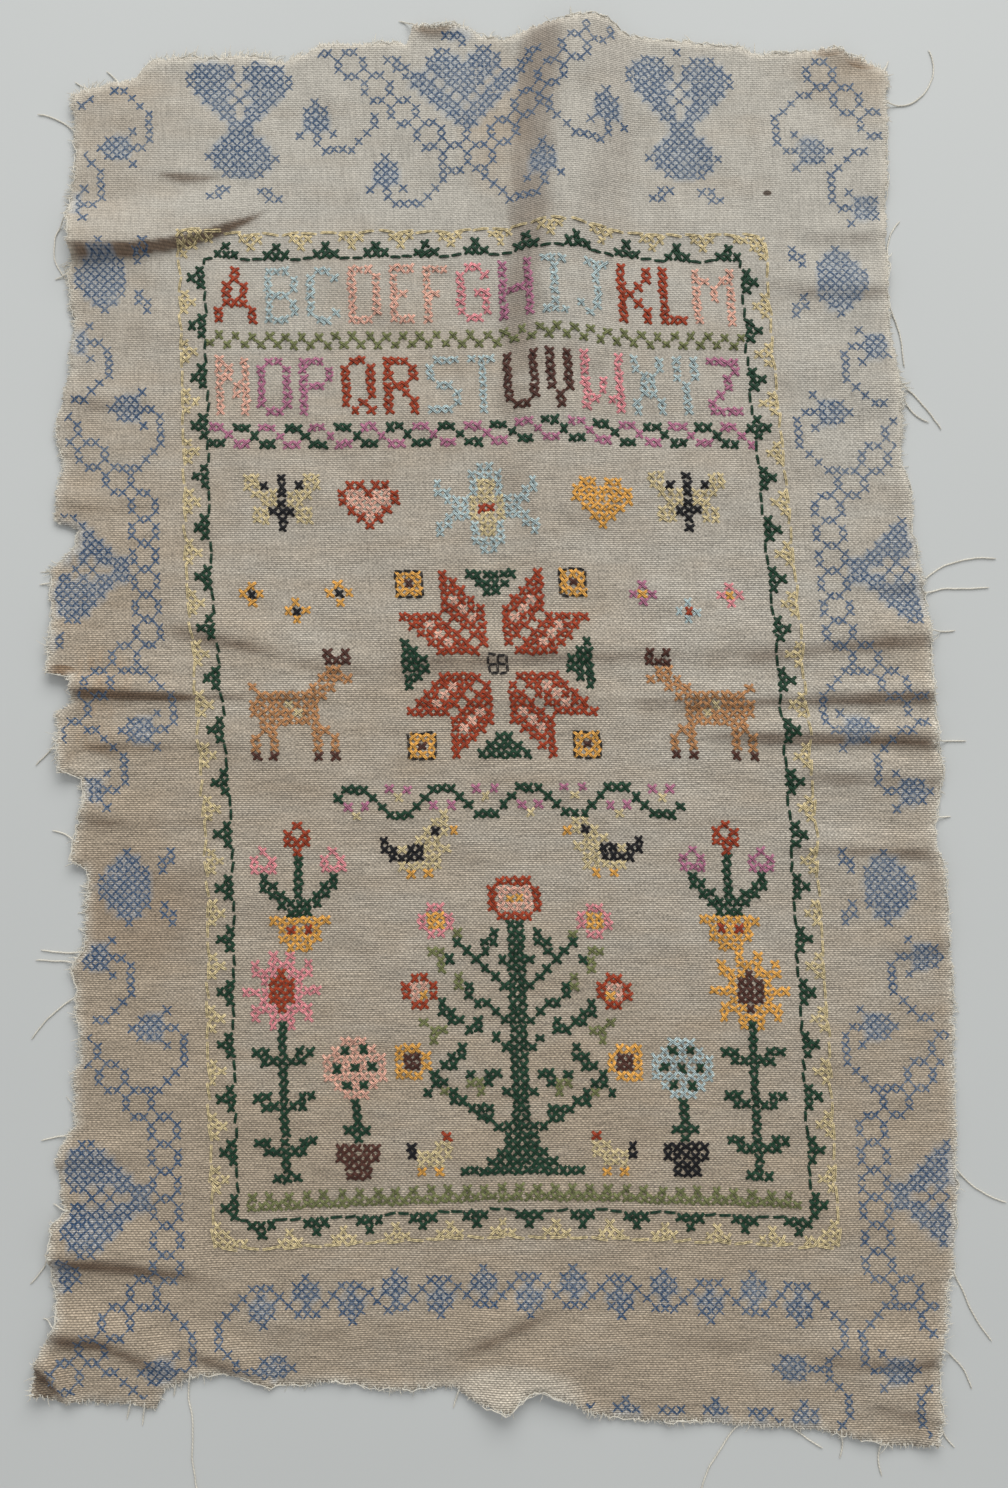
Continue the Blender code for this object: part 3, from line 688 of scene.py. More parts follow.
@cache
def torn_side(side):
    """A side's turns with the small jags of its tear between them, as places and reaches.

    Where the cloth is held up it is drawn in, so that it keeps its place in a view from above.
    """
    random = np.random.default_rng([TEAR_SEED, sorted(SIDES).index(side)])
    ordered = sorted(SIDES[side])
    along = [ordered[0].along]
    for a, b in zip(ordered, ordered[1:]):
        steps = max(1, round((b.along - a.along) / TEAR_STEP))
        along += list(np.linspace(a.along, b.along, steps + 1)[1:])
    along = np.array(along, dtype=float)
    out = np.interp(along, [t.along for t in ordered], [t.out for t in ordered])
    out = out + random.uniform(-TEAR_JAG, TEAR_JAG, len(out))
    x, y = (along, out) if across(side) else (out, along)
    return along, out * (1 - cloth_height(x, y)[0] / VIEW_HEIGHT)


def reach(side, at):
    """How far out the cloth reaches on a side at a place along it."""
    return np.interp(at, *torn_side(side))


def across(side):
    """Whether a side is read along X."""
    return side in ("top", "bottom")


def outward(side):
    """+1 where a side's outward direction is positive on its axis, and -1 where it isn't."""
    return 1 if side in ("top", "right") else -1


def corner(level, upright):
    """Where a side that is read along X meets one that is read along Y."""
    x, y = float(SIDES[upright][0].out), float(SIDES[level][0].out)
    for _ in range(CORNER_PASSES):
        x, y = float(reach(upright, y)), float(reach(level, x))
    return x, y


Edge = namedtuple("Edge", "side x y")


def torn_edges():
    """The four torn edges, thread by thread, each in its turn round the cloth clockwise."""
    corners = {(a, b): corner(a, b) for a in ("top", "bottom") for b in ("left", "right")}
    random = np.random.default_rng(EDGE_SEED)
    edges = []
    for side in ("top", "right", "bottom", "left"):
        if across(side):
            ends = corners[side, "left"][0], corners[side, "right"][0]
        else:
            ends = corners["bottom", side][1], corners["top", side][1]
        at = np.linspace(*ends, round(abs(ends[1] - ends[0]) / EDGE_STEP))
        out = reach(side, at)
        threads = random.uniform(-EDGE_JAG, EDGE_JAG, len(at)) * outward(side)
        threads[[0, -1]] = 0
        x, y = (at, out + threads) if across(side) else (out + threads, at)
        if side in ("bottom", "right"):
            x, y = x[::-1], y[::-1]
        edges.append(Edge(side, x, y))
    return edges


def within(x, y, inset):
    """Which points lie inside the torn outline by at least inset, read along the four sides."""
    inside = np.ones(np.shape(x), bool)
    for side in SIDES:
        at, out = (x, y) if across(side) else (y, x)
        along, torn = torn_side(side)
        for shift in (-inset, 0, inset):
            edge = np.interp(at + shift, along, torn)
            inside &= (edge - out) * outward(side) > inset
    return inside


# ---------------------------------------------------------------------------------------------
# The design on the cloth
# ---------------------------------------------------------------------------------------------


def stray(side, at):
    """How far a side of the field strays at a row or column, smoothed over the cells round it."""
    places, offsets = zip(*STRAY[side])
    return sum(np.interp(at + shift, places, offsets) for shift in (-4, -2, 0, 2, 4)) / 5


def on_cloth(column, row):
    """The place of a point of the design's grid, in millimetres."""
    column, row = np.asarray(column, float), np.asarray(row, float)
    inner, down = np.clip(column / COLUMNS, 0, 1), np.clip(row / ROWS, 0, 1)
    outside = np.maximum(-column, column - COLUMNS) / STRAY_OUTSIDE
    x = GRID_LEFT + CELL_WIDTH * column + LEAN * row
    x = x + (stray("left", row) * (1 - inner) + stray("right", row) * inner) * ease(1 - outside)
    x = x + BOW * ease(outside) * np.sin(np.pi * down) + WOBBLE * np.sin(column / 7.3 + row / 9.1)
    y = GRID_TOP - CELL_HEIGHT * row + WOBBLE * np.sin(row / 6.9 + column / 11.7)
    return x, y + stray("top", column) * (1 - down) ** 2 + stray("foot", column) * down**2


def chart_rows(name):
    """A motif's chart in full, as an array of letters."""
    motif = MOTIFS[name]
    rows = motif.chart.split()
    if motif.fold == "even":
        rows = [row + row[::-1] for row in rows]
    elif motif.fold == "odd":
        rows = [row + row[-2::-1] for row in rows]
    return np.array([list(row) for row in rows])


def letter_cells():
    """The crosses of the two rows of letters."""
    cells = {}
    for line in ALPHABET:
        column = 1
        for letter, floss in zip(line.letters, line.floss):
            rows = LETTERS[letter].split()
            for r, row in enumerate(rows):
                for c, mark in enumerate(row):
                    if mark == "#":
                        cells[column + c, line.row + r] = floss
            column += len(rows[0]) + 1
    return cells


def band_cells():
    """The olive zigzag, the green and mauve wave and the olive band at the foot."""
    cells = {}
    for column in range(COLUMNS):
        cells[column, ZIGZAG_ROW + (column % 2 == 0)] = "o"
        wave, step = divmod(column, 3)
        if step < 2:
            cells[column, WAVE_ROW + 2] = "gm"[wave % 2]
            cells[column, WAVE_ROW] = "mg"[wave % 2]
        else:
            cells[column, WAVE_ROW + 1] = "mg"[wave % 2]
    for column in range(1, COLUMNS - 1):
        cells[column, FOOT_ROW] = "o"
        if column % 2:
            cells[column, FOOT_ROW - 1] = "o"
    return cells


def motif_cells():
    """The crosses of the motifs in the field and of their mirrored copies."""
    cells = {}
    for place in PLACES:
        for (r, c), mark in np.ndenumerate(chart_rows(place.motif)):
            if mark == ".":
                continue
            cells[place.column + c, place.row + r] = str(mark)
            if place.twin is not None:
                cells[COLUMNS - 1 - place.column - c, place.row + r] = place.twin.get(mark, str(mark))
    return cells


def corner_cells():
    """The cream wedges on the four corners."""
    return {
        (column, row): "c"
        for depth, span in ((-3, 4), (-2, 2), (-1, 1))
        for i in range(span)
        for column in (-3 + i, COLUMNS + 2 - i)
        for row in (depth, ROWS - 1 - depth)
    }


def worked_cells():
    """Every worked cross inside the green line and in the two borders: its cell and its floss."""
    return {
        **letter_cells(),
        **band_cells(),
        **motif_cells(),
        **border_cells(BORDER_FIRST, -1, -2, "g"),
        **border_cells(CREAM_FIRST, -3, -2, "c"),
        **corner_cells(),
    }


def border_cells(first, base, tip, floss):
    """A border's sprigs: three crosses along the base line and one at the tip, on all four sides."""
    cells = {}
    for middle in range(first, COLUMNS, BORDER_EVERY):
        for i in (-1, 0, 1):
            cells[middle + i, base] = cells[middle + i, ROWS - 1 - base] = floss
        cells[middle, tip] = cells[middle, ROWS - 1 - tip] = floss
    for middle in range(first, ROWS, BORDER_EVERY):
        for i in (-1, 0, 1):
            cells[base, middle + i] = cells[COLUMNS - 1 - base, middle + i] = floss
        cells[tip, middle] = cells[COLUMNS - 1 - tip, middle] = floss
    return cells


Dash = namedtuple("Dash", "start end floss plump")


def facing_sides(span, far, out, a, b):
    """The ends of the two stitches from a to b along facing sides, out cells outside the green line."""
    for line in (-out, far + out):
        ends = ((a, line), (b, line))
        yield ends if span == COLUMNS else tuple((q, p) for p, q in ends)


def worked_dashes():
    """The running stitches: the green line, the cream line outside it and the outlined panes."""
    dashes = []
    for low, high in BORDER_DASHES:
        for start in range(-BORDER_EVERY, ROWS, BORDER_EVERY):
            a, b = start + low, start + high
            for span, far in ((COLUMNS, ROWS), (ROWS, COLUMNS)):
                lo, hi = max(a, 0), min(b, span)
                if hi - lo < SHORTEST_DASH:
                    continue
                dashes += [Dash(*ends, "g", 1.0) for ends in facing_sides(span, far, 0, lo, hi)]
    for start in range(-3, ROWS + 2):
        for span, far in ((COLUMNS, ROWS), (ROWS, COLUMNS)):
            a, b = start * CREAM_DASH, (start + CREAM_COVER) * CREAM_DASH
            if a < -3 or b > span + 3:
                continue
            for ends in facing_sides(span, far, CREAM_OUT, a, b):
                dashes.append(Dash(*ends, "c", CREAM_PLUMP))
    for hole in OPENINGS:
        levels = [hole.top, hole.bottom] + [(hole.top + hole.bottom) / 2] * hole.barred
        uprights = [hole.left, hole.right] + [(hole.left + hole.right) / 2] * hole.barred
        for row in levels:
            for column in range(hole.left, hole.right):
                dashes.append(Dash((column, row), (column + 1, row), "k", THIN))
        for column in uprights:
            for row in range(hole.top, hole.bottom):
                dashes.append(Dash((column, row), (column, row + 1), "k", THIN))
    return dashes


def stamped_cells(taken):
    """Every stamped cross of the margin, as a set of cells clear of the worked ones."""
    cells = set()
    for stamp in STAMPS:
        rows = chart_rows(stamp.motif)
        if stamp.flip:
            rows = rows[:, ::-1]
        rows = np.rot90(rows, stamp.turn)
        for (r, c), mark in np.ndenumerate(rows):
            if mark == ".":
                continue
            cells.add((stamp.column + c, stamp.row + r))
            if stamp.twin:
                cells.add((stamp.twin - stamp.column - c, stamp.row + r))
    return {
        (c, r)
        for c, r in cells
        if (c, r) not in taken
        and not (-STAMP_CLEAR <= c < COLUMNS + STAMP_CLEAR and -STAMP_CLEAR <= r < ROWS + STAMP_CLEAR)
    }


def print_share(x, y, cells):
    """How much of the stamping shows on the cloth between close crosses, from 0 to 1."""
    near = [(i, j) for i in (-1, 0, 1) for j in (-1, 0, 1)]
    close = [
        (c, r)
        for c, r in sorted(cells)
        if sum((c + i, r + j) in cells for i, j in near) >= WASH_CROSSES
    ]
    columns, rows = zip(*close)
    cross_x, cross_y = on_cloth(np.array(columns) + 0.5 + STAMP_SHIFT, np.array(rows) + 0.5)
    reached = WASH_FULL + WASH_FADE
    distance = np.full(len(x), 2 * reached)
    for place in zip(cross_x, cross_y):
        box = np.nonzero((np.abs(x - place[0]) < reached) & (np.abs(y - place[1]) < reached))[0]
        distance[box] = np.minimum(distance[box], np.hypot(x[box] - place[0], y[box] - place[1]))
    return ease((reached - distance) / WASH_FADE)


# ---------------------------------------------------------------------------------------------
# Nodes
# ---------------------------------------------------------------------------------------------


class Number:
    """A number in a node tree. An operator on it adds the Math node."""

    def __init__(self, graph, socket):
        self.graph, self.socket = graph, socket

    def maths(self, operation, *values):
        return self.graph.maths(operation, *values)

    def __add__(self, other):
        return self.maths("ADD", self, other)

    def __sub__(self, other):
        return self.maths("SUBTRACT", self, other)

    def __mul__(self, other):
        return self.maths("MULTIPLY", self, other)

    def __truediv__(self, other):
        return self.maths("DIVIDE", self, other)

    def __rsub__(self, other):
        return self.maths("SUBTRACT", other, self)

    def __rtruediv__(self, other):
        return self.maths("DIVIDE", other, self)

    __radd__ = __add__
    __rmul__ = __mul__

    def __neg__(self):
        return self.maths("MULTIPLY", self, -1)

    def __pow__(self, other):
        return self.maths("POWER", self, other)

    def __abs__(self):
        return self.maths("ABSOLUTE", self)

    def __gt__(self, other):
        return self.maths("GREATER_THAN", self, other)

    def sin(self):
        return self.maths("SINE", self)

    def cos(self):
        return self.maths("COSINE", self)

    def sign(self):
        return self.maths("SIGN", self)

    def floor(self):
        return self.maths("FLOOR", self)

    def least(self, other):
        return self.maths("MINIMUM", self, other)

    def most(self, other):
        return self.maths("MAXIMUM", self, other)

    def clamped(self):
        return self.most(0).least(1)


class Graph:
    """A node tree that is being built. One method adds any node."""

    def __init__(self, tree):
        self.tree = tree

    def node(self, kind, settings=None, inputs=None):
        """A node with its settings, and the values or links of its inputs by name or place."""
        node = self.tree.nodes.new(kind)
        for key, value in (settings or {}).items():
            setattr(node, key, value)
        for key, value in (inputs or {}).items():
            self.feed(node.inputs[key], value)
        return node

    def feed(self, socket, value):
        if isinstance(value, (list, tuple)) and value and not isinstance(value[0], (int, float)):
            for each in value:
                self.feed(socket, each)
            return
        source = self.source(value)
        if source is not None:
            self.tree.links.new(source, socket)
        else:
            socket.default_value = value

    def source(self, value):
        """The output that a value stands for, or None where it is a plain value."""
        if isinstance(value, Number):
            return value.socket
        if isinstance(value, bpy.types.NodeSocket):
            return value
        if isinstance(value, bpy.types.Node):
            return value.outputs[0]
        return None

    def maths(self, operation, *values):
        node = self.node("ShaderNodeMath", {"operation": operation}, dict(enumerate(values)))
        return Number(self, node.outputs[0])

    def split(self, vector):
        """The three numbers of a vector."""
        node = self.node("ShaderNodeSeparateXYZ", None, {0: vector})
        return [Number(self, node.outputs[i]) for i in range(3)]

    def vector(self, *numbers):
        return self.node("ShaderNodeCombineXYZ", None, dict(enumerate(numbers))).outputs[0]

    def vector_maths(self, operation, *vectors, **numbers):
        inputs = {**dict(enumerate(vectors)), **numbers}
        return self.node("ShaderNodeVectorMath", {"operation": operation}, inputs).outputs[0]


class Finish(Graph):
    """A material that is being built."""

    def __init__(self, name, roughness=0.9, **fixed):
        self.material = bpy.data.materials.new(name)
        self.material.use_nodes = True
        super().__init__(self.material.node_tree)
        self.shader = self.tree.nodes["Principled BSDF"]
        self.set("Roughness", roughness)
        self.set("Metallic", 0.0)
        self.set("Specular IOR Level", 0.25)
        for label, value in fixed.items():
            self.set(label.replace("_", " ").title(), value)

    def set(self, name, value):
        self.feed(self.shader.inputs[name], value)

    def place(self):
        """Object coordinates in millimetres."""
        node = self.node("ShaderNodeTexCoord")
        return [number / MM for number in self.split(node.outputs["Object"])]

    def attribute(self, name, output="Fac"):
        node = self.node("ShaderNodeAttribute", {"attribute_name": name})
        return node.outputs[output]

    def number_attribute(self, name):
        return Number(self, self.attribute(name))

    def noise(self, detail, *place, roughness=0.5):
        """Noise that changes over about 1 in the place's units."""
        node = self.node(
            "ShaderNodeTexNoise",
            None,
            {"Vector": self.vector(*place), "Scale": 1.0, "Detail": detail, "Roughness": roughness},
        )
        return Number(self, node.outputs[0])

    def mix(self, factor, a, b):
        """Colour a turning into colour b as factor goes from 0 to 1."""
        wide = [tuple(c) + (1.0,) if isinstance(c, tuple) and len(c) == 3 else c for c in (a, b)]
        node = self.node(
            "ShaderNodeMix",
            {"data_type": "RGBA", "clamp_factor": True},
            {0: factor, 6: wide[0], 7: wide[1]},
        )
        return node.outputs[2]

    def brightened(self, shade, factor):
        """A colour times a number."""
        return self.vector_maths("SCALE", shade, Scale=factor)

    def twist(self, rate):
        """A ridge that winds round a strand, by rate in radians to the millimetre."""
        ring = self.split(self.attribute("ring", "Vector"))
        turn = self.number_attribute("along") / MM * rate
        return ring[1] * turn.cos() + ring[0] * turn.sin()

    def bump(self, height, distance):
        self.set("Normal", self.node("ShaderNodeBump", None, {"Height": height, "Distance": distance}))

    def spots(self, place, kind):
        """How strongly the spots of one kind lie on a place."""
        total = 0
        for spot in SPOTS[kind]:
            far = ((place[0] - spot.x) / spot.wide) ** 2 + ((place[1] - spot.y) / spot.high) ** 2
            total = total + ((1 - far) / spot.soft).clamped() * spot.share
        return total


Weave = namedtuple("Weave", "height cover slub")


def weave(finish, place, pitch):
    """Plain weave over a place: its relief, how well threads cover it, and the threads' shades."""
    x, y, _ = place
    sway = finish.noise(2.0, x * 0.03, y * 0.03, 0) - 0.5
    u = (x + y * (LEAN / CELL_HEIGHT) + sway * 2.2) / pitch
    v = (y + sway * 1.6) / pitch
    warp_slub = finish.noise(2.0, u.floor() * 1.7, v * 0.09, 3.0)
    weft_slub = finish.noise(2.0, u * 0.09, v.floor() * 1.7, 9.0)
    fleck = finish.noise(1.0, u * 0.9, v * 0.9, 6.0)
    rib = abs((v * math.pi).sin())
    wave = (u * math.pi).cos() * (v * math.pi).sin().sign()
    upright = ((y + 20) / 240).clamped()
    plump = (weft_slub - 0.5) * 0.3
    weft_top = rib ** 0.7 * (plump + 0.76) + wave * 0.16
    warp_top = abs((u * math.pi).cos()) ** 0.8 * (upright * 0.3 + 0.24) - wave * 0.12
    height = weft_top.most(warp_top)
    slub = weft_slub * 0.55 + (warp_slub - 0.5) * (upright * 0.7 + 0.2) + (fleck - 0.5) * 1.2 + 0.225
    cover = ((height - 0.08) * 1.25).clamped()
    return Weave(height, cover, slub)


def linen_finish(settings):
    """Oatmeal linen: woven, browner on the left, with painted shade on its slopes that face away from the
    light, pale and worn at its edges.
    """
    finish = Finish("linen_weave", 0.92, sheen_weight=0.12, sheen_roughness=0.6)
    place = finish.place()
    x, y, _ = place
    pitch = settings.thread / MM
    woven = weave(finish, place, pitch)
    linen, shade, worn = (tuple(c) for c in (settings.linen, settings.shade, settings.worn))

    broad = finish.noise(3.0, x * 0.011, y * 0.011, 1.0)
    blotch = finish.noise(4.0, x * 0.06, y * 0.045, 5.0, roughness=0.6)
    left = ((-x - 96) / 60).clamped()
    low = ((-y - 120) / 150).clamped()
    # foot browns the linen towards the foot; the paler, greyer top that it leaves is in part a painted
    # sheen of the sky.
    foot = ((200 - y) / 330).clamped()
    streaks = finish.noise(3.0, x * 0.018, y * 0.13, 7.0) - 0.5
    brown = foot * 0.9 + (broad - 0.5) * 0.9 + left * 0.4 + low * 0.1 + (blotch - 0.5) * 0.6
    brown = brown + streaks * 0.8 + finish.spots(place, "browned_and_ridge_shade")
    base = finish.mix(brown.clamped(), linen, shade)

    streaked = (finish.noise(3.0, x * 0.5, y * 0.12, 2.0) - 0.35) * 1.5
    rust = (finish.spots(place, "rust") * streaked).clamped()
    # curl is painted shade inside the curled corner, and it also keeps the corner's edge from looking worn.
    curl = finish.spots(place, "curled corner") * (blotch * 1.6 + 0.1).clamped()
    # Painted shade: the slopes that face away from the window are browned.
    soiled = finish.number_attribute("soiled")
    for share, stain in (
        (rust * 0.5, linear(168, 128, 84)),
        (curl * 0.85, linear(92, 76, 60)),
        # painted shade on the turned-over flaps and the tab's curled edge
        (finish.spots(place, "folded edge shade").clamped() * 0.75, linear(132, 102, 72)),
        (finish.spots(place, "speck"), linear(92, 80, 70)),
        (soiled * 0.8, linear(108, 80, 56)),
        # painted shade on a slope low on the left
        (finish.spots(place, "shaded slope patch") * 0.3, linear(126, 96, 66)),
        (finish.spots(place, "pale").clamped() * 0.5, worn),
        (finish.number_attribute("printed") * 0.55, linear(158, 170, 182)),
    ):
        base = finish.mix(share, base, stain)
    rim = finish.number_attribute("rim")
    base = finish.mix((rim * rim * 0.75 - curl * 0.6).clamped(), base, worn)

    crisp = ((190 - y) / 160).clamped() * 0.55 + 0.6
    thread_shade = (woven.slub - 0.5) * crisp + 1.0
    # Painted shade in the gaps between the threads.
    gap_shade = (woven.cover - 0.62) * crisp + 0.96
    finish.set("Base Color", finish.brightened(base, thread_shade * gap_shade))
    finish.bump(woven.height + (woven.slub - 0.5) * 0.5, 0.26 * MM)
    return finish.material


def ink_finish(settings):
    """Stamping ink that sits on the threads of the weave and misses some of them."""
    finish = Finish("stamping_ink", 0.9)
    place = finish.place()
    x, y, _ = place
    woven = weave(finish, place, settings.thread / MM)
    faint = finish.noise(3.0, x * 0.05, y * 0.05, 4.0)
    broken = finish.noise(2.0, x * 1.4, y * 1.4, 8.0)
    washed = ((y + 60) / 300).clamped() * 0.08 + ((x - 60) / 80).clamped() * 0.08
    worn = ((faint - 0.45) * 0.9 + (broken - 0.5) * 3.0 + washed + 0.24).clamped()
    base = finish.mix(worn, tuple(settings.ink), linear(150, 156, 162))
    # Painted shade in the gaps between the threads darkens the ink.
    gap_shade = woven.cover * 0.8 + 0.46
    finish.set("Base Color", finish.brightened(base, gap_shade))
    finish.bump(woven.height, 0.14 * MM)
    return finish.material


def floss_finish(name, shade):
    """Cotton floss: twisted strands with a soft sheen, uneven in shade from stitch to stitch, with painted
    light on each strand's top and painted shade on its sides and in the grooves of its twist.
    """
    finish = Finish(f"floss_{name}", 0.52, sheen_weight=0.12, sheen_roughness=0.45)
    twist = finish.twist(2.4)
    place = finish.place()
    cloudy = finish.noise(3.0, *(p * 0.22 for p in place))
    fuzz = finish.noise(2.0, *(p * 2.6 for p in place))
    # Painted shade in the grooves of the twist, and painted light on the top of each strand with painted
    # shade on its sides.
    groove_shade = ((twist + 0.25) * 1.2).clamped()
    facing = finish.split(finish.node("ShaderNodeTexCoord").outputs["Normal"])
    crown_light = ((facing[2] - 0.25) * 1.5).clamped()
    light = crown_light * 0.8 + groove_shade * 0.45 + (cloudy - 0.5) * 0.8 + (fuzz - 0.5) * 2.0 + 0.02
    finish.set("Base Color", finish.brightened(tuple(shade), light))
    finish.bump(twist * 0.7 + fuzz * 0.6, 0.12 * MM)
    return finish.material


def thread_finish(settings):
    """Pale single linen threads."""
    finish = Finish("ravelled_threads", 0.92, sheen_weight=0.15)
    twist = finish.twist(5.0)
    place = finish.place()
    cloudy = finish.noise(3.0, *(p * 0.3 for p in place))
    # The twist paints a little light and shade along the ridges of each thread.
    light = twist * 0.1 + (cloudy - 0.5) * 0.5 + 0.96
    finish.set("Base Color", finish.brightened(tuple(settings.ravelled), light))
    finish.bump(twist, 0.05 * MM)
    return finish.material


def floor_finish(settings):
    """A plain pale surface, matt and a little uneven in shade."""
    finish = Finish("pale_floor", 0.75)
    x, y, _ = finish.place()
    cloudy = finish.noise(2.0, x * 0.004, y * 0.004, 0.0)
    finish.set("Base Color", finish.brightened(tuple(settings.floor), (cloudy - 0.5) * 0.08 + 1.0))
    return finish.material


# ---------------------------------------------------------------------------------------------
# Geometry Nodes
# ---------------------------------------------------------------------------------------------


class Shaper(Graph):
    """A Geometry Nodes tree that is being built, with named inputs."""

    def __init__(self, name, inputs):
        tree = bpy.data.node_groups.new(name, "GeometryNodeTree")
        super().__init__(tree)
        tree.interface.new_socket("Geometry", in_out="INPUT", socket_type="NodeSocketGeometry")
        for label, kind in inputs.items():
            tree.interface.new_socket(label, in_out="INPUT", socket_type=f"NodeSocket{kind}")
        tree.interface.new_socket("Geometry", in_out="OUTPUT", socket_type="NodeSocketGeometry")
        self.given = self.node("NodeGroupInput").outputs

    def number(self, label):
        return Number(self, self.given[label])

    def named(self, label):
        """A number that the points carry under a name."""
        node = self.node("GeometryNodeInputNamedAttribute", {"data_type": "FLOAT"}, {"Name": label})
        return Number(self, node.outputs["Attribute"])

    def keep(self, geometry, label, value, kind="FLOAT"):
        """The geometry with value stored on its points under a name."""
        node = self.node(
            "GeometryNodeStoreNamedAttribute",
            {"data_type": kind, "domain": "POINT"},
            {"Geometry": geometry, "Name": label, "Value": value},
        )
        return node.outputs[0]

    def random(self, low, high, seed):
        """A random number for each element."""
        inputs = {2: low, 3: high, "Seed": seed}
        node = self.node("FunctionNodeRandomValue", {"data_type": "FLOAT"}, inputs)
        return Number(self, node.outputs[1])

    def turned(self, angle):
        return self.node("FunctionNodeEulerToRotation", None, {0: self.vector(0, 0, angle)})

    def copies(self, points, unit, facing, scale, chosen=True):
        """The unit at each chosen point, turned and scaled."""
        node = self.node(
            "GeometryNodeInstanceOnPoints",
            None,
            {"Points": points, "Selection": chosen, "Instance": unit, "Rotation": facing, "Scale": scale},
        )
        return node.outputs[0]

    def tube(self, curves, thickness, scale, sides):
        """Round strands along curves, which keep the place round and along each strand."""
        circle = self.node(
            "GeometryNodeCurvePrimitiveCircle",
            {"mode": "RADIUS"},
            {"Resolution": sides, "Radius": thickness * 0.5},
        )
        facing = self.vector_maths("NORMALIZE", self.node("GeometryNodeInputPosition"))
        profile = self.keep(circle.outputs[0], "ring", facing, "FLOAT_VECTOR")
        length = self.node("GeometryNodeSplineParameter").outputs["Length"]
        rails = self.keep(curves, "along", length)
        made = self.node(
            "GeometryNodeCurveToMesh",
            None,
            {"Curve": rails, "Profile Curve": profile, "Scale": scale, "Fill Caps": True},
        )
        return made.outputs[0]

    def laid_on(self, geometry, cloth):
        """The geometry moved from the flat design onto the surface of the cloth."""
        target = self.node("GeometryNodeObjectInfo", None, {"Object": cloth}).outputs["Geometry"]
        x, y, z = self.split(self.node("GeometryNodeInputPosition"))
        ray = self.node(
            "GeometryNodeRaycast",
            None,
            {
                "Target Geometry": target,
                "Source Position": self.vector(x, y, 1.0),
                "Ray Direction": (0.0, 0.0, -1.0),
                "Ray Length": 2.0,
            },
        )
        off = self.vector_maths("SCALE", ray.outputs["Hit Normal"], Scale=z)
        spot = self.vector_maths("ADD", ray.outputs["Hit Position"], off)
        moved = self.node(
            "GeometryNodeSetPosition",
            None,
            {"Geometry": geometry, "Selection": ray.outputs["Is Hit"], "Position": spot},
        )
        return moved.outputs[0]

    def finished(self, geometry):
        """Ends the tree: instances realised, and the material that is given set on everything."""
        real = self.node("GeometryNodeRealizeInstances", None, {"Geometry": geometry})
        dressed = self.node(
            "GeometryNodeSetMaterial", None, {"Geometry": real, "Material": self.given["Material"]}
        )
        self.node("NodeGroupOutput", None, {0: dressed})
        return self.tree


def stitch_tree():
    """Crosses and running stitches at points of the flat design, laid on the cloth."""
    shaper = Shaper(
        "worked_stitches",
        {
            "Cloth": "Object", "Cell": "Float", "Strand": "Float", "Lift": "Float",
            "Seed": "Int", "Material": "Material",
        },
    )
    cell, strand, lift, seed = (shaper.number(k) for k in ("Cell", "Strand", "Lift", "Seed"))
    apart = strand * 0.43 / cell
    sunk = strand * -0.45

    def leg(start, end, height):
        """Two strands side by side, from start to end in a cell of size 1."""
        run = Vector(end) - Vector(start)
        side = Vector((-run.y, run.x)).normalized()
        strands = []
        for hand in (-1, 1):
            dx, dy = apart * (side.x * hand), apart * (side.y * hand)
            ends = [shaper.vector(dx + p[0], dy + p[1], sunk) for p in (start, end)]
            middle = shaper.vector(dx, dy, height)
            curve = shaper.node(
                "GeometryNodeCurveQuadraticBezier",
                None,
                {"Resolution": 4, "Start": ends[0], "Middle": middle, "End": ends[1]},
            )
            strands.append(curve.outputs[0])
        return strands

    lower = leg((-0.5, -0.5), (0.5, 0.5), lift * 1.7)
    upper = leg((-0.5, 0.5), (0.5, -0.5), lift * 3.3)
    flat = leg((-0.5, 0), (0.5, 0), lift * 2.6)
    astray = STITCH_ASTRAY * MM
    jitter = shaper.node(
        "FunctionNodeRandomValue",
        {"data_type": "FLOAT_VECTOR"},
        {0: (-astray, -astray, 0.0), 1: (astray, astray, 0.0), "Seed": seed},
    )
    strewn = shaper.node(
        "GeometryNodeSetPosition", None, {"Geometry": shaper.given["Geometry"], "Offset": jitter}
    )
    long = shaper.named("dash")
    is_dash = long > 0.0001
    quarter = shaper.random(0.0, 1.3, seed + 1).floor() * (math.pi / 2) * (1 - is_dash)
    worked = []
    for step, strands in enumerate((lower, upper, flat)):
        turn = shaper.named("turn") + quarter
        turn = turn + shaper.random(-STITCH_TURN, STITCH_TURN, seed + 2 + step)
        high = shaper.random(0.75, 1.25, seed + 5 + step)
        if strands is flat:
            chosen, scale = is_dash, shaper.vector(long, cell, high)
        else:
            size = cell * shaper.random(0.78, 1.12, seed + 8 + step)
            chosen, scale = 1 - is_dash, shaper.vector(size, size, high)
        unit = shaper.node("GeometryNodeJoinGeometry", None, {0: strands})
        worked.append(shaper.copies(strewn, unit, shaper.turned(turn), scale, chosen))
    together = shaper.node("GeometryNodeJoinGeometry", None, {0: worked})
    real = shaper.node("GeometryNodeRealizeInstances", None, {"Geometry": together})
    mesh = shaper.tube(real, strand, shaper.named("plump"), 5)
    return shaper.finished(shaper.laid_on(mesh, shaper.given["Cloth"]))


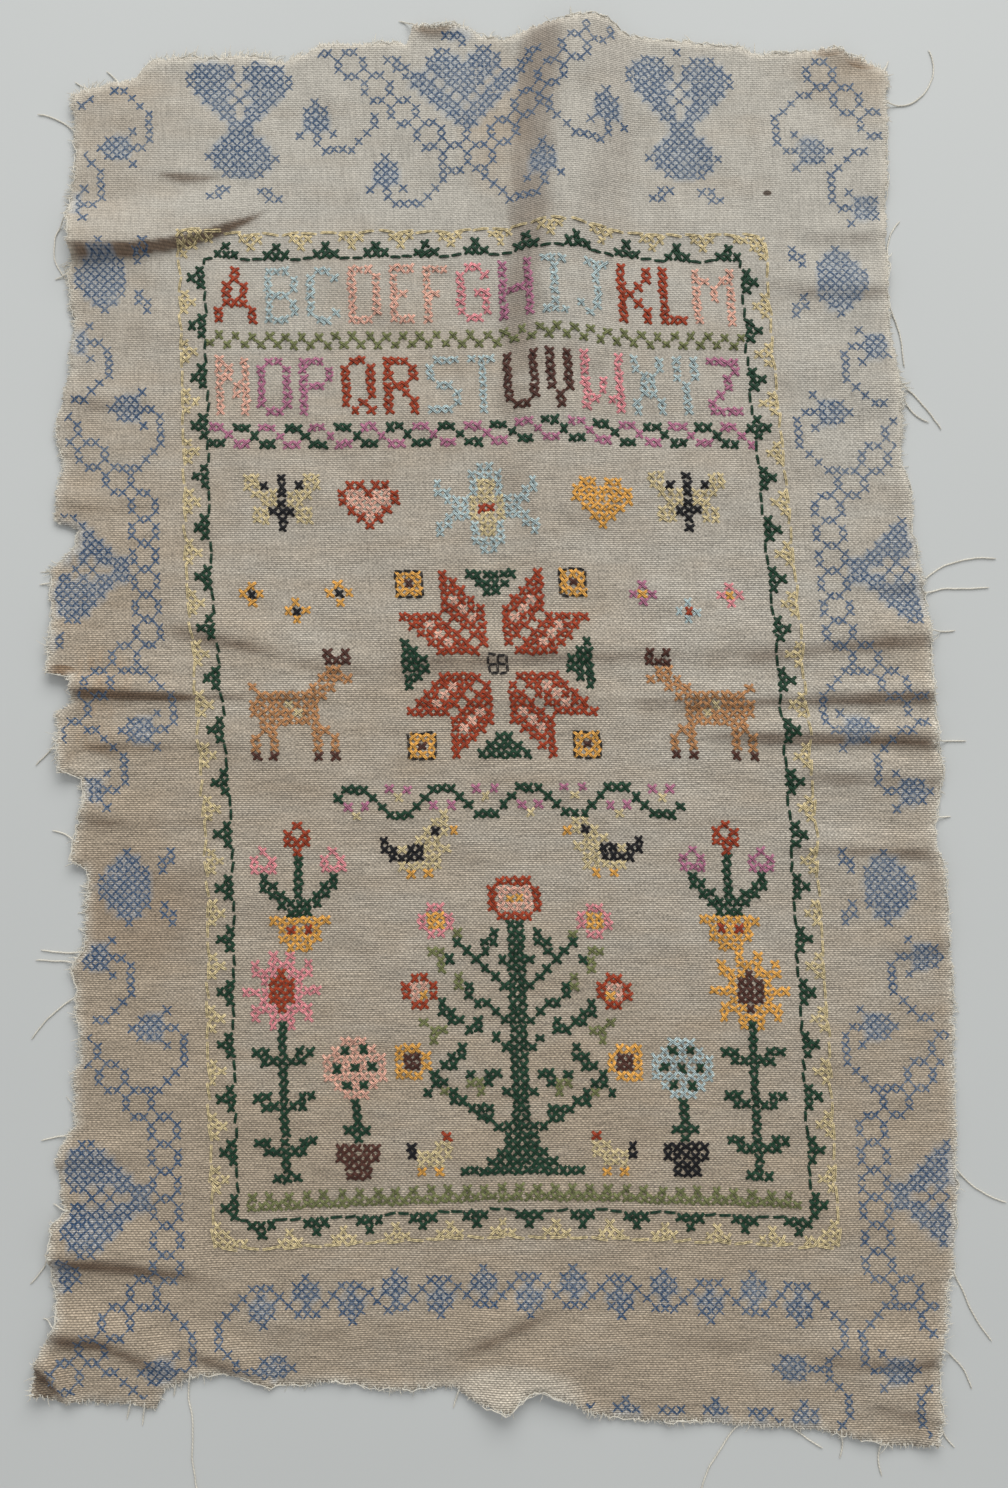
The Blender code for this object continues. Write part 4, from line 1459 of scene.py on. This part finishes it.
def stamp_tree():
    """Half arms of stamped crosses at points of the flat design, laid on the cloth."""
    shaper = Shaper(
        "stamped_crosses",
        {
            "Cloth": "Object", "Arm": "Float", "Width": "Float", "Relief": "Float",
            "Seed": "Int", "Material": "Material",
        },
    )
    arm, width, relief, seed = (shaper.number(k) for k in ("Arm", "Width", "Relief", "Seed"))
    bar = shaper.node(
        "GeometryNodeMeshCube",
        None,
        {
            "Size": shaper.vector(1.0, width, relief * 2), "Vertices X": 3, "Vertices Y": 2,
            "Vertices Z": 2,
        },
    )
    x, y, z = shaper.split(shaper.node("GeometryNodeInputPosition"))
    tapered = shaper.vector(x + 0.5, y * (0.86 - x * 0.34), z)
    shifted = shaper.node(
        "GeometryNodeSetPosition", None, {"Geometry": bar.outputs[0], "Position": tapered}
    )
    turn = shaper.named("turn") + shaper.random(-0.05, 0.05, seed)
    long = arm * shaper.named("span") * shaper.random(0.9, 1.12, seed + 1)
    scale = shaper.vector(long, shaper.random(0.7, 1.2, seed + 2), 1.0)
    arms = shaper.copies(shaper.given["Geometry"], shifted, shaper.turned(turn), scale)
    real = shaper.node("GeometryNodeRealizeInstances", None, {"Geometry": arms})
    return shaper.finished(shaper.laid_on(real, shaper.given["Cloth"]))


def thread_tree():
    """Single threads along the edges of a wire mesh."""
    shaper = Shaper("ravelled_threads", {"Thickness": "Float", "Material": "Material"})
    wires = shaper.node("GeometryNodeMeshToCurve", None, {"Mesh": shaper.given["Geometry"]})
    mesh = shaper.tube(wires.outputs[0], shaper.number("Thickness"), shaper.named("thin"), 4)
    return shaper.finished(mesh)


def grown(ob, tree, values):
    """The object with the tree's result as its plain mesh."""
    modifier = ob.modifiers.new("growth", "NODES")
    modifier.node_group = tree
    for item in tree.interface.items_tree:
        if item.in_out == "INPUT" and item.name in values:
            modifier[item.identifier] = values[item.name]
    bpy.context.view_layer.update()
    evaluated = ob.evaluated_get(bpy.context.evaluated_depsgraph_get())
    mesh = bpy.data.meshes.new_from_object(evaluated)
    if len(mesh.polygons) == 0:
        raise RuntimeError(f"{ob.name} has no faces")
    ob.modifiers.clear()
    wire, ob.data = ob.data, mesh
    bpy.data.meshes.remove(wire)
    mesh.name = ob.name
    return ob


# ---------------------------------------------------------------------------------------------
# Pieces
# ---------------------------------------------------------------------------------------------


def linked(name, mesh):
    ob = bpy.data.objects.new(name, mesh)
    bpy.context.scene.collection.objects.link(ob)
    return ob


def put(mesh, label, values):
    """Stores a number for each of a mesh's points under a name."""
    mesh.attributes.new(label, "FLOAT", "POINT").data.foreach_set("value", values)


def cloth_net(ring):
    """The cloth laid flat as a net of triangles: its points, its triangles and its rim's points."""
    half = GRID_STEP / 2
    gx, gy = np.meshgrid(np.arange(*NET_ACROSS, half), np.arange(*NET_UP, half))
    gx = gx - gy * (LEAN / CELL_HEIGHT)
    wanted = np.zeros(gx.shape, bool)
    wanted[::2, ::2] = True
    for fold in (*FOLDS, *CREASES):
        if fold.steep <= CRISP:
            rows = np.abs(gy[:, 0] - fold.via[1]) < CRISP_NEAR
            wanted[rows] |= fold_height(fold, gx[rows], gy[rows]) > CRISP_ABOVE
    inside = wanted & within(gx, gy, EDGE_CLEAR)
    points = np.vstack((ring, np.column_stack((gx[inside], gy[inside]))))
    count = len(ring)
    laid = delaunay_2d_cdt([Vector(p) for p in points], [], [list(range(count))], 1, 1e-7)
    flat = np.array([tuple(v) for v in laid[0]])
    order = {source: i for i, sources in enumerate(laid[3]) for source in sources}
    return flat, [tuple(f) for f in laid[2]], [order[i] for i in range(count)]


def cloth_mesh(settings, cells):
    """The whole cloth, closed: its upper surface, its underside and its torn rim."""
    ring = np.array([(x, y) for e in torn_edges() for x, y in zip(e.x[:-1], e.y[:-1])])
    flat, faces, rim = cloth_net(ring)
    low = np.column_stack((flat, underside(flat[:, 0], flat[:, 1]))) * MM
    upper = bpy.data.meshes.new("upper")
    upper.from_pydata(low.tolist(), [], faces)
    if upper.polygons[0].normal.z < 0:
        faces = [f[::-1] for f in faces]
        upper.clear_geometry()
        upper.from_pydata(low.tolist(), [], faces)
    normals = np.zeros(len(low) * 3)
    upper.vertices.foreach_get("normal", normals)
    normals = normals.reshape(-1, 3)
    bpy.data.meshes.remove(upper)

    total = len(low)
    high = low + normals * settings.thickness
    closed = [*faces, *(tuple(i + total for i in f[::-1]) for f in faces)]
    area = sum(a[0] * b[1] - b[0] * a[1] for a, b in zip(ring, np.roll(ring, -1, axis=0)))
    rim = rim if area < 0 else rim[::-1]
    walls = [(a, b, b + total, a + total) for a, b in zip(rim, rim[1:] + rim[:1])]
    mesh = bpy.data.meshes.new("linen")
    mesh.from_pydata(np.vstack((high, low)).tolist(), [], closed + walls)
    mark_wear(mesh, flat, ring, normals)
    share = print_share(flat[:, 0], flat[:, 1], cells)
    put(mesh, "printed", np.concatenate((share, np.zeros(total))))
    add_bake_map(mesh, len(faces), len(walls))
    mesh.shade_smooth()
    return mesh


def mark_wear(mesh, flat, ring, normals):
    """Marks the cloth's points with how near they are to the torn rim and how much painted shade their
    slopes take.
    """
    parts = np.array_split(flat[:, None, :], math.ceil(len(flat) / 4000))
    gap = np.concatenate([np.hypot(*(part - ring[None, ::2]).T).min(axis=0) for part in parts])
    put(mesh, "rim", np.tile(1 - np.minimum(gap, EDGE_PALE) / EDGE_PALE, 2))
    # Painted shade on the slopes that face away from the window above the top edge: most on those that face
    # the foot of the cloth, less on those at the sides.
    aside, upward = normals[:, 0], normals[:, 1]
    soiled = ease((-upward - 0.1) / 0.5) + 0.4 * ease((np.abs(aside) - 0.16) / 0.5)
    soiled += 0.25 * ease((-aside - 0.08) / 0.4)
    put(mesh, "soiled", np.tile(np.minimum(soiled, 1), 2))


def add_bake_map(mesh, faces, walls):
    """A map of the whole cloth without overlaps: the upper surface large, the rest beside it."""
    corners = np.zeros(len(mesh.loops), int)
    mesh.loops.foreach_get("vertex_index", corners)
    places = np.zeros(len(mesh.vertices) * 3)
    mesh.vertices.foreach_get("co", places)
    flat = places.reshape(-1, 3)[corners][:, :2]
    low = flat.min(axis=0)
    upper, under = faces * 3, faces * 6
    beside = 0.63
    map_places = np.zeros((len(corners), 2))
    map_places[:upper] = (flat[:upper] - low) / 0.56 * 0.99 + 0.002
    map_places[upper:under] = (flat[upper:under] - low) / 0.95 + (beside, 0.005)
    a_row, wide, high = 100, 0.003, 0.01
    rows = math.ceil(walls / a_row)
    for i in range(walls):
        row, column = divmod(i, a_row)
        u, v = beside + 0.0034 * column, 0.6 + 0.38 * row / rows
        start = under + 4 * i
        map_places[start : start + 4] = (u, v), (u + wide, v), (u + wide, v + high), (u, v + high)
    layer = mesh.uv_layers.new(name="OFBake")
    layer.data.foreach_set("uv", np.ravel(map_places))


def points_object(name, places, **values):
    """Loose points in the flat design, with an attribute for each of the values."""
    mesh = bpy.data.meshes.new(name)
    mesh.from_pydata([(x * MM, y * MM, 0.0) for x, y in places], [], [])
    for label, numbers in values.items():
        put(mesh, label, np.array(numbers, float))
    return linked(name, mesh)


def wire_object(name, strands):
    """Wires in millimetres, each a list of points and a list of how thin it is at each."""
    points, edges, thin = [], [], []
    for path, scale in strands:
        first = len(points)
        points += [(x * MM, y * MM, z * MM) for x, y, z in path]
        edges += [(first + i, first + i + 1) for i in range(len(path) - 1)]
        thin += list(scale)
    mesh = bpy.data.meshes.new(name)
    mesh.from_pydata(points, edges, [])
    put(mesh, "thin", np.array(thin))
    return linked(name, mesh)


def loose_thread(thread, rest, random):
    """A loose thread's points, from its root in the torn edge down to the floor."""
    sign = outward(thread.side)
    edge = float(reach(thread.side, thread.at))
    inner = edge - sign * THREAD_ROOT
    roots = [(thread.at, inner), (thread.at, edge)]
    if not across(thread.side):
        roots = [(b, a) for a, b in roots]
    (ax, ay), (x, y) = roots
    top = float(underside(x, y)[0]) + EDGE_ABOVE
    path = [(ax, ay, float(underside(ax, ay)[0]) + ROOT_ABOVE)]
    steps = max(4, round(thread.length / THREAD_STEP))
    step = thread.length / steps
    angle = math.radians(thread.heading)
    swerve = 0.0
    for i in range(steps + 1):
        fall = ease(min(1.0, i * step / THREAD_DROP))
        path.append((x, y, top + (rest - top) * float(fall)))
        swerve = THREAD_SWERVE * swerve + math.radians(random.normal(0, THREAD_WANDER))
        x += math.cos(angle + swerve) * step
        y += math.sin(angle + swerve) * step
        angle += math.radians(thread.curl) / steps
    thin = np.linspace(1.0, 0.8, len(path))
    thin[-1] = THREAD_TIP
    return path, thin


def thread_ends(edge, settings, random):
    """The short ends that stick out of a torn edge, and the threads that lie loose along it."""
    strands = []
    sign = outward(edge.side)
    ends_reach = settings.reach / MM
    patch = 0.0
    z = underside(edge.x, edge.y)
    for i in np.repeat(np.arange(len(edge.x)), 2):
        patch = 0.96 * patch + random.normal(0, 0.16)
        length = ends_reach * random.uniform(0.3, 1.3) * math.exp(patch)
        if random.random() < LONG_ENDS:
            length += random.uniform(1.0, 3.4)
        length = min(length, LONGEST_END)
        heading = random.normal(0, 0.3)
        bend = random.normal(0, 0.5)
        droop = random.uniform(0.0, 0.5)
        thin = random.uniform(0.6, 1.15)
        shift, rise = random.uniform(-0.4, 0.4), random.uniform(0.25, 0.62)
        path = []
        for part, run in enumerate((-0.8, 0.0, 0.5 * length, length)):
            turn = heading + bend * part / 3
            out, aside = run * math.cos(turn), run * math.sin(turn)
            aside += shift
            if across(edge.side):
                x, y = edge.x[i] + aside, edge.y[i] + out * sign
            else:
                x, y = edge.x[i] + out * sign, edge.y[i] + aside
            high = z[i] + rise - droop * max(0, part - 1) * length * 0.4
            path.append((x, y, max(high, 0.22)))
        strands.append((path, (thin, thin, thin * 0.85, thin * 0.4)))
    for start in random.integers(4, len(edge.x) - 26, len(edge.x) // FLOATS_EVERY):
        span = int(random.integers(6, 22))
        lift = random.uniform(0.1, 0.5)
        path = []
        for j in range(0, span, 2):
            k = start + j
            swing = random.uniform(-0.35, 0.75) * sign
            x = edge.x[k] + (0 if across(edge.side) else swing)
            y = edge.y[k] + (swing if across(edge.side) else 0)
            path.append((x, y, z[k] + 0.45 + lift * math.sin(math.pi * j / span)))
        if len(path) > 2:
            strands.append((path, [random.uniform(0.7, 1.0)] * len(path)))
    return strands


class SAMPLER_OT_linen(bpy.types.Operator):
    """Lays the torn linen with its folds and creases"""

    bl_idname = "sampler.linen"
    bl_label = "Linen"

    def execute(self, context):
        settings = context.scene.sampler_cloth
        mesh = cloth_mesh(settings, stamped_cells(worked_cells()))
        mesh.materials.append(linen_finish(settings))
        piece = linked("linen", mesh)
        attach(piece, "root")
        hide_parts("linen_ground")
        return {"FINISHED"}


class SAMPLER_OT_stamped_crosses(bpy.types.Operator):
    """Stamps the blue crosses of the margin on the linen"""

    bl_idname = "sampler.stamped_crosses"
    bl_label = "Stamped crosses"

    def execute(self, context):
        settings = context.scene.sampler_cloth
        random = np.random.default_rng(STAMP_SEED)
        places, turns, spans = [], [], []
        for column, row in sorted(stamped_cells(worked_cells())):
            astray, skew = random.normal(0, STAMP_ASTRAY, 2), random.normal(0, STAMP_SKEW)
            span = random.uniform(*STAMP_SPANS)
            across_at, down_at = column + 0.5 + STAMP_SHIFT, row + 0.5
            for dc, dr in ((0.5, -0.5), (-0.5, -0.5), (-0.5, 0.5), (0.5, 0.5)):
                x, y = on_cloth((across_at, across_at + dc), (down_at, down_at + dr))
                if within(x, y, STAMP_INSET).all():
                    places.append((x[0] + astray[0], y[0] + astray[1]))
                    turns.append(math.atan2(y[1] - y[0], x[1] - x[0]) + skew)
                    spans.append(span)
        piece = points_object("stamped_crosses", places, turn=turns, span=spans)
        values = {
            "Cloth": bpy.data.objects["linen"],
            "Arm": math.hypot(CELL_WIDTH, CELL_HEIGHT) / 2 * MM,
            "Width": settings.ink_width,
            "Relief": settings.ink_relief,
            "Seed": 5,
            "Material": ink_finish(settings),
        }
        grown(piece, stamp_tree(), values)
        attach(piece, "root")
        return {"FINISHED"}


class SAMPLER_OT_stitches(bpy.types.Operator):
    """Works every cross and running stitch, one piece for each floss"""

    bl_idname = "sampler.stitches"
    bl_label = "Stitches"

    def execute(self, context):
        settings = context.scene.sampler_floss
        points = defaultdict(list)
        for (column, row), floss in sorted(worked_cells().items()):
            x, y = on_cloth(column + 0.5, row + 0.5)
            ahead = on_cloth(column + 1.5, row + 0.5)
            lean = math.atan2(float(ahead[1] - y), float(ahead[0] - x))
            points[floss].append((float(x), float(y), lean, 0.0, PLUMP[floss]))
        for dash in worked_dashes():
            (ax, ay), (bx, by) = (on_cloth(*p) for p in (dash.start, dash.end))
            run = float(bx - ax), float(by - ay)
            spot = float(ax + bx) / 2, float(ay + by) / 2
            length = math.hypot(*run) * MM
            points[dash.floss].append((*spot, math.atan2(run[1], run[0]), length, dash.plump))
        tree = stitch_tree()
        for seed, (floss, rows) in enumerate(sorted(points.items())):
            name = FLOSS[floss]
            x, y, turn, long, plump = zip(*rows)
            piece = points_object(f"floss_{name}", zip(x, y), turn=turn, dash=long, plump=plump)
            values = {
                "Cloth": bpy.data.objects["linen"],
                "Cell": CELL_WIDTH * MM,
                "Strand": settings.strand,
                "Lift": settings.lift,
                "Seed": 20 * seed,
                "Material": floss_finish(name, getattr(settings, name)),
            }
            grown(piece, tree, values)
            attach(piece, "root")
        return {"FINISHED"}


class SAMPLER_OT_ravelled_edges(bpy.types.Operator):
    """Ravels the four torn edges into thread ends and loose threads"""

    bl_idname = "sampler.ravelled_edges"
    bl_label = "Ravelled edges"

    def execute(self, context):
        settings = context.scene.sampler_fray
        finish, tree = thread_finish(settings), thread_tree()
        rest = settings.loose / 2 / MM + 0.02
        for edge in torn_edges():
            random = np.random.default_rng([ENDS_SEED, sorted(SIDES).index(edge.side)])
            strands = thread_ends(edge, settings, random)
            ratio = settings.loose / settings.end
            for thread in THREADS:
                if thread.side == edge.side:
                    path, thin = loose_thread(thread, rest, random)
                    strands.append((path, thin * ratio))
            piece = wire_object(f"ravelled_{edge.side}", strands)
            grown(piece, tree, {"Thickness": settings.end, "Material": finish})
            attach(piece, "root")
            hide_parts(f"frayed_edge_{edge.side}")
        return {"FINISHED"}


def lay_floor(settings):
    mesh = bpy.data.meshes.new("floor")
    far = FLOOR_REACH
    mesh.from_pydata([(-far, -far, 0), (far, -far, 0), (far, far, 0), (-far, far, 0)], [], [(0, 1, 2, 3)])
    mesh.materials.append(floor_finish(settings))
    linked("floor", mesh)


def light(settings):
    """Soft light from all round, and a broad window above the top edge."""
    world = bpy.data.worlds.new("soft_light")
    world.use_nodes = True
    sky = world.node_tree.nodes["Background"].inputs
    sky["Color"].default_value = (0.97, 0.985, 1.0, 1)
    sky["Strength"].default_value = settings.sky
    bpy.context.scene.world = world

    window = bpy.data.lights.new("window", "AREA")
    window.energy = settings.window
    window.color = (1.0, 1.0, 0.995)
    window.shape = "RECTANGLE"
    window.size, window.size_y = WINDOW_SIZE
    lamp = linked("window", window)
    lamp.location = WINDOW_PLACE
    lamp.rotation_euler = (-lamp.location).to_track_quat("-Z", "Y").to_euler()


def set_camera(settings):
    """A camera above the middle of the cloth, a little towards its foot."""
    view = bpy.data.cameras.new("camera")
    view.lens = settings.lens
    view.sensor_width = 36
    view.sensor_fit = "AUTO"
    view.clip_start = 0.01
    camera = linked("camera", view)
    away, tilt = settings.distance, settings.tilt
    camera.location = (0, -away * math.sin(tilt), away * math.cos(tilt))
    camera.rotation_euler = (tilt, 0, 0)
    bpy.context.scene.camera = camera


class SAMPLER_OT_stage(bpy.types.Operator):
    """Sets out the floor, the soft light and the camera"""

    bl_idname = "sampler.stage"
    bl_label = "Floor, light and camera"

    def execute(self, context):
        settings = context.scene.sampler_stage
        lay_floor(settings)
        light(settings)
        set_camera(settings)
        context.scene.view_settings.view_transform = "Standard"
        return {"FINISHED"}


class SAMPLER_PT_panel(bpy.types.Panel):
    """Lists the steps that dress the sampler, with their settings"""

    bl_idname = "SAMPLER_PT_panel"
    bl_label = "Cross stitch sampler"
    bl_space_type = "VIEW_3D"
    bl_region_type = "UI"
    bl_category = "Sampler"

    def draw(self, context):
        for group, steps in STEPS.items():
            box = self.layout.box()
            for step in steps:
                box.operator(step.bl_idname)
            settings = getattr(context.scene, group)
            for name in settings.bl_rna.properties.keys():
                if name not in ("rna_type", "name"):
                    box.prop(settings, name)


GROUPS = {
    "sampler_cloth": SamplerCloth,
    "sampler_floss": SamplerFloss,
    "sampler_fray": SamplerFray,
    "sampler_stage": SamplerStage,
}
STEPS = {
    "sampler_cloth": (SAMPLER_OT_linen, SAMPLER_OT_stamped_crosses),
    "sampler_floss": (SAMPLER_OT_stitches,),
    "sampler_fray": (SAMPLER_OT_ravelled_edges,),
    "sampler_stage": (SAMPLER_OT_stage,),
}
CLASSES = (*GROUPS.values(), *(step for steps in STEPS.values() for step in steps), SAMPLER_PT_panel)


def register():
    for each in CLASSES:
        bpy.utils.register_class(each)
    for name, group in GROUPS.items():
        setattr(bpy.types.Scene, name, bpy.props.PointerProperty(type=group))


def unregister():
    for name in GROUPS:
        delattr(bpy.types.Scene, name)
    for each in reversed(CLASSES):
        bpy.utils.unregister_class(each)


def main():
    register()
    bpy.ops.sampler.linen()
    bpy.ops.sampler.stamped_crosses()
    bpy.ops.sampler.stitches()
    bpy.ops.sampler.ravelled_edges()
    bpy.ops.sampler.stage()
    bpy.data.objects["linen"]


if __name__ == "__main__":
    main()
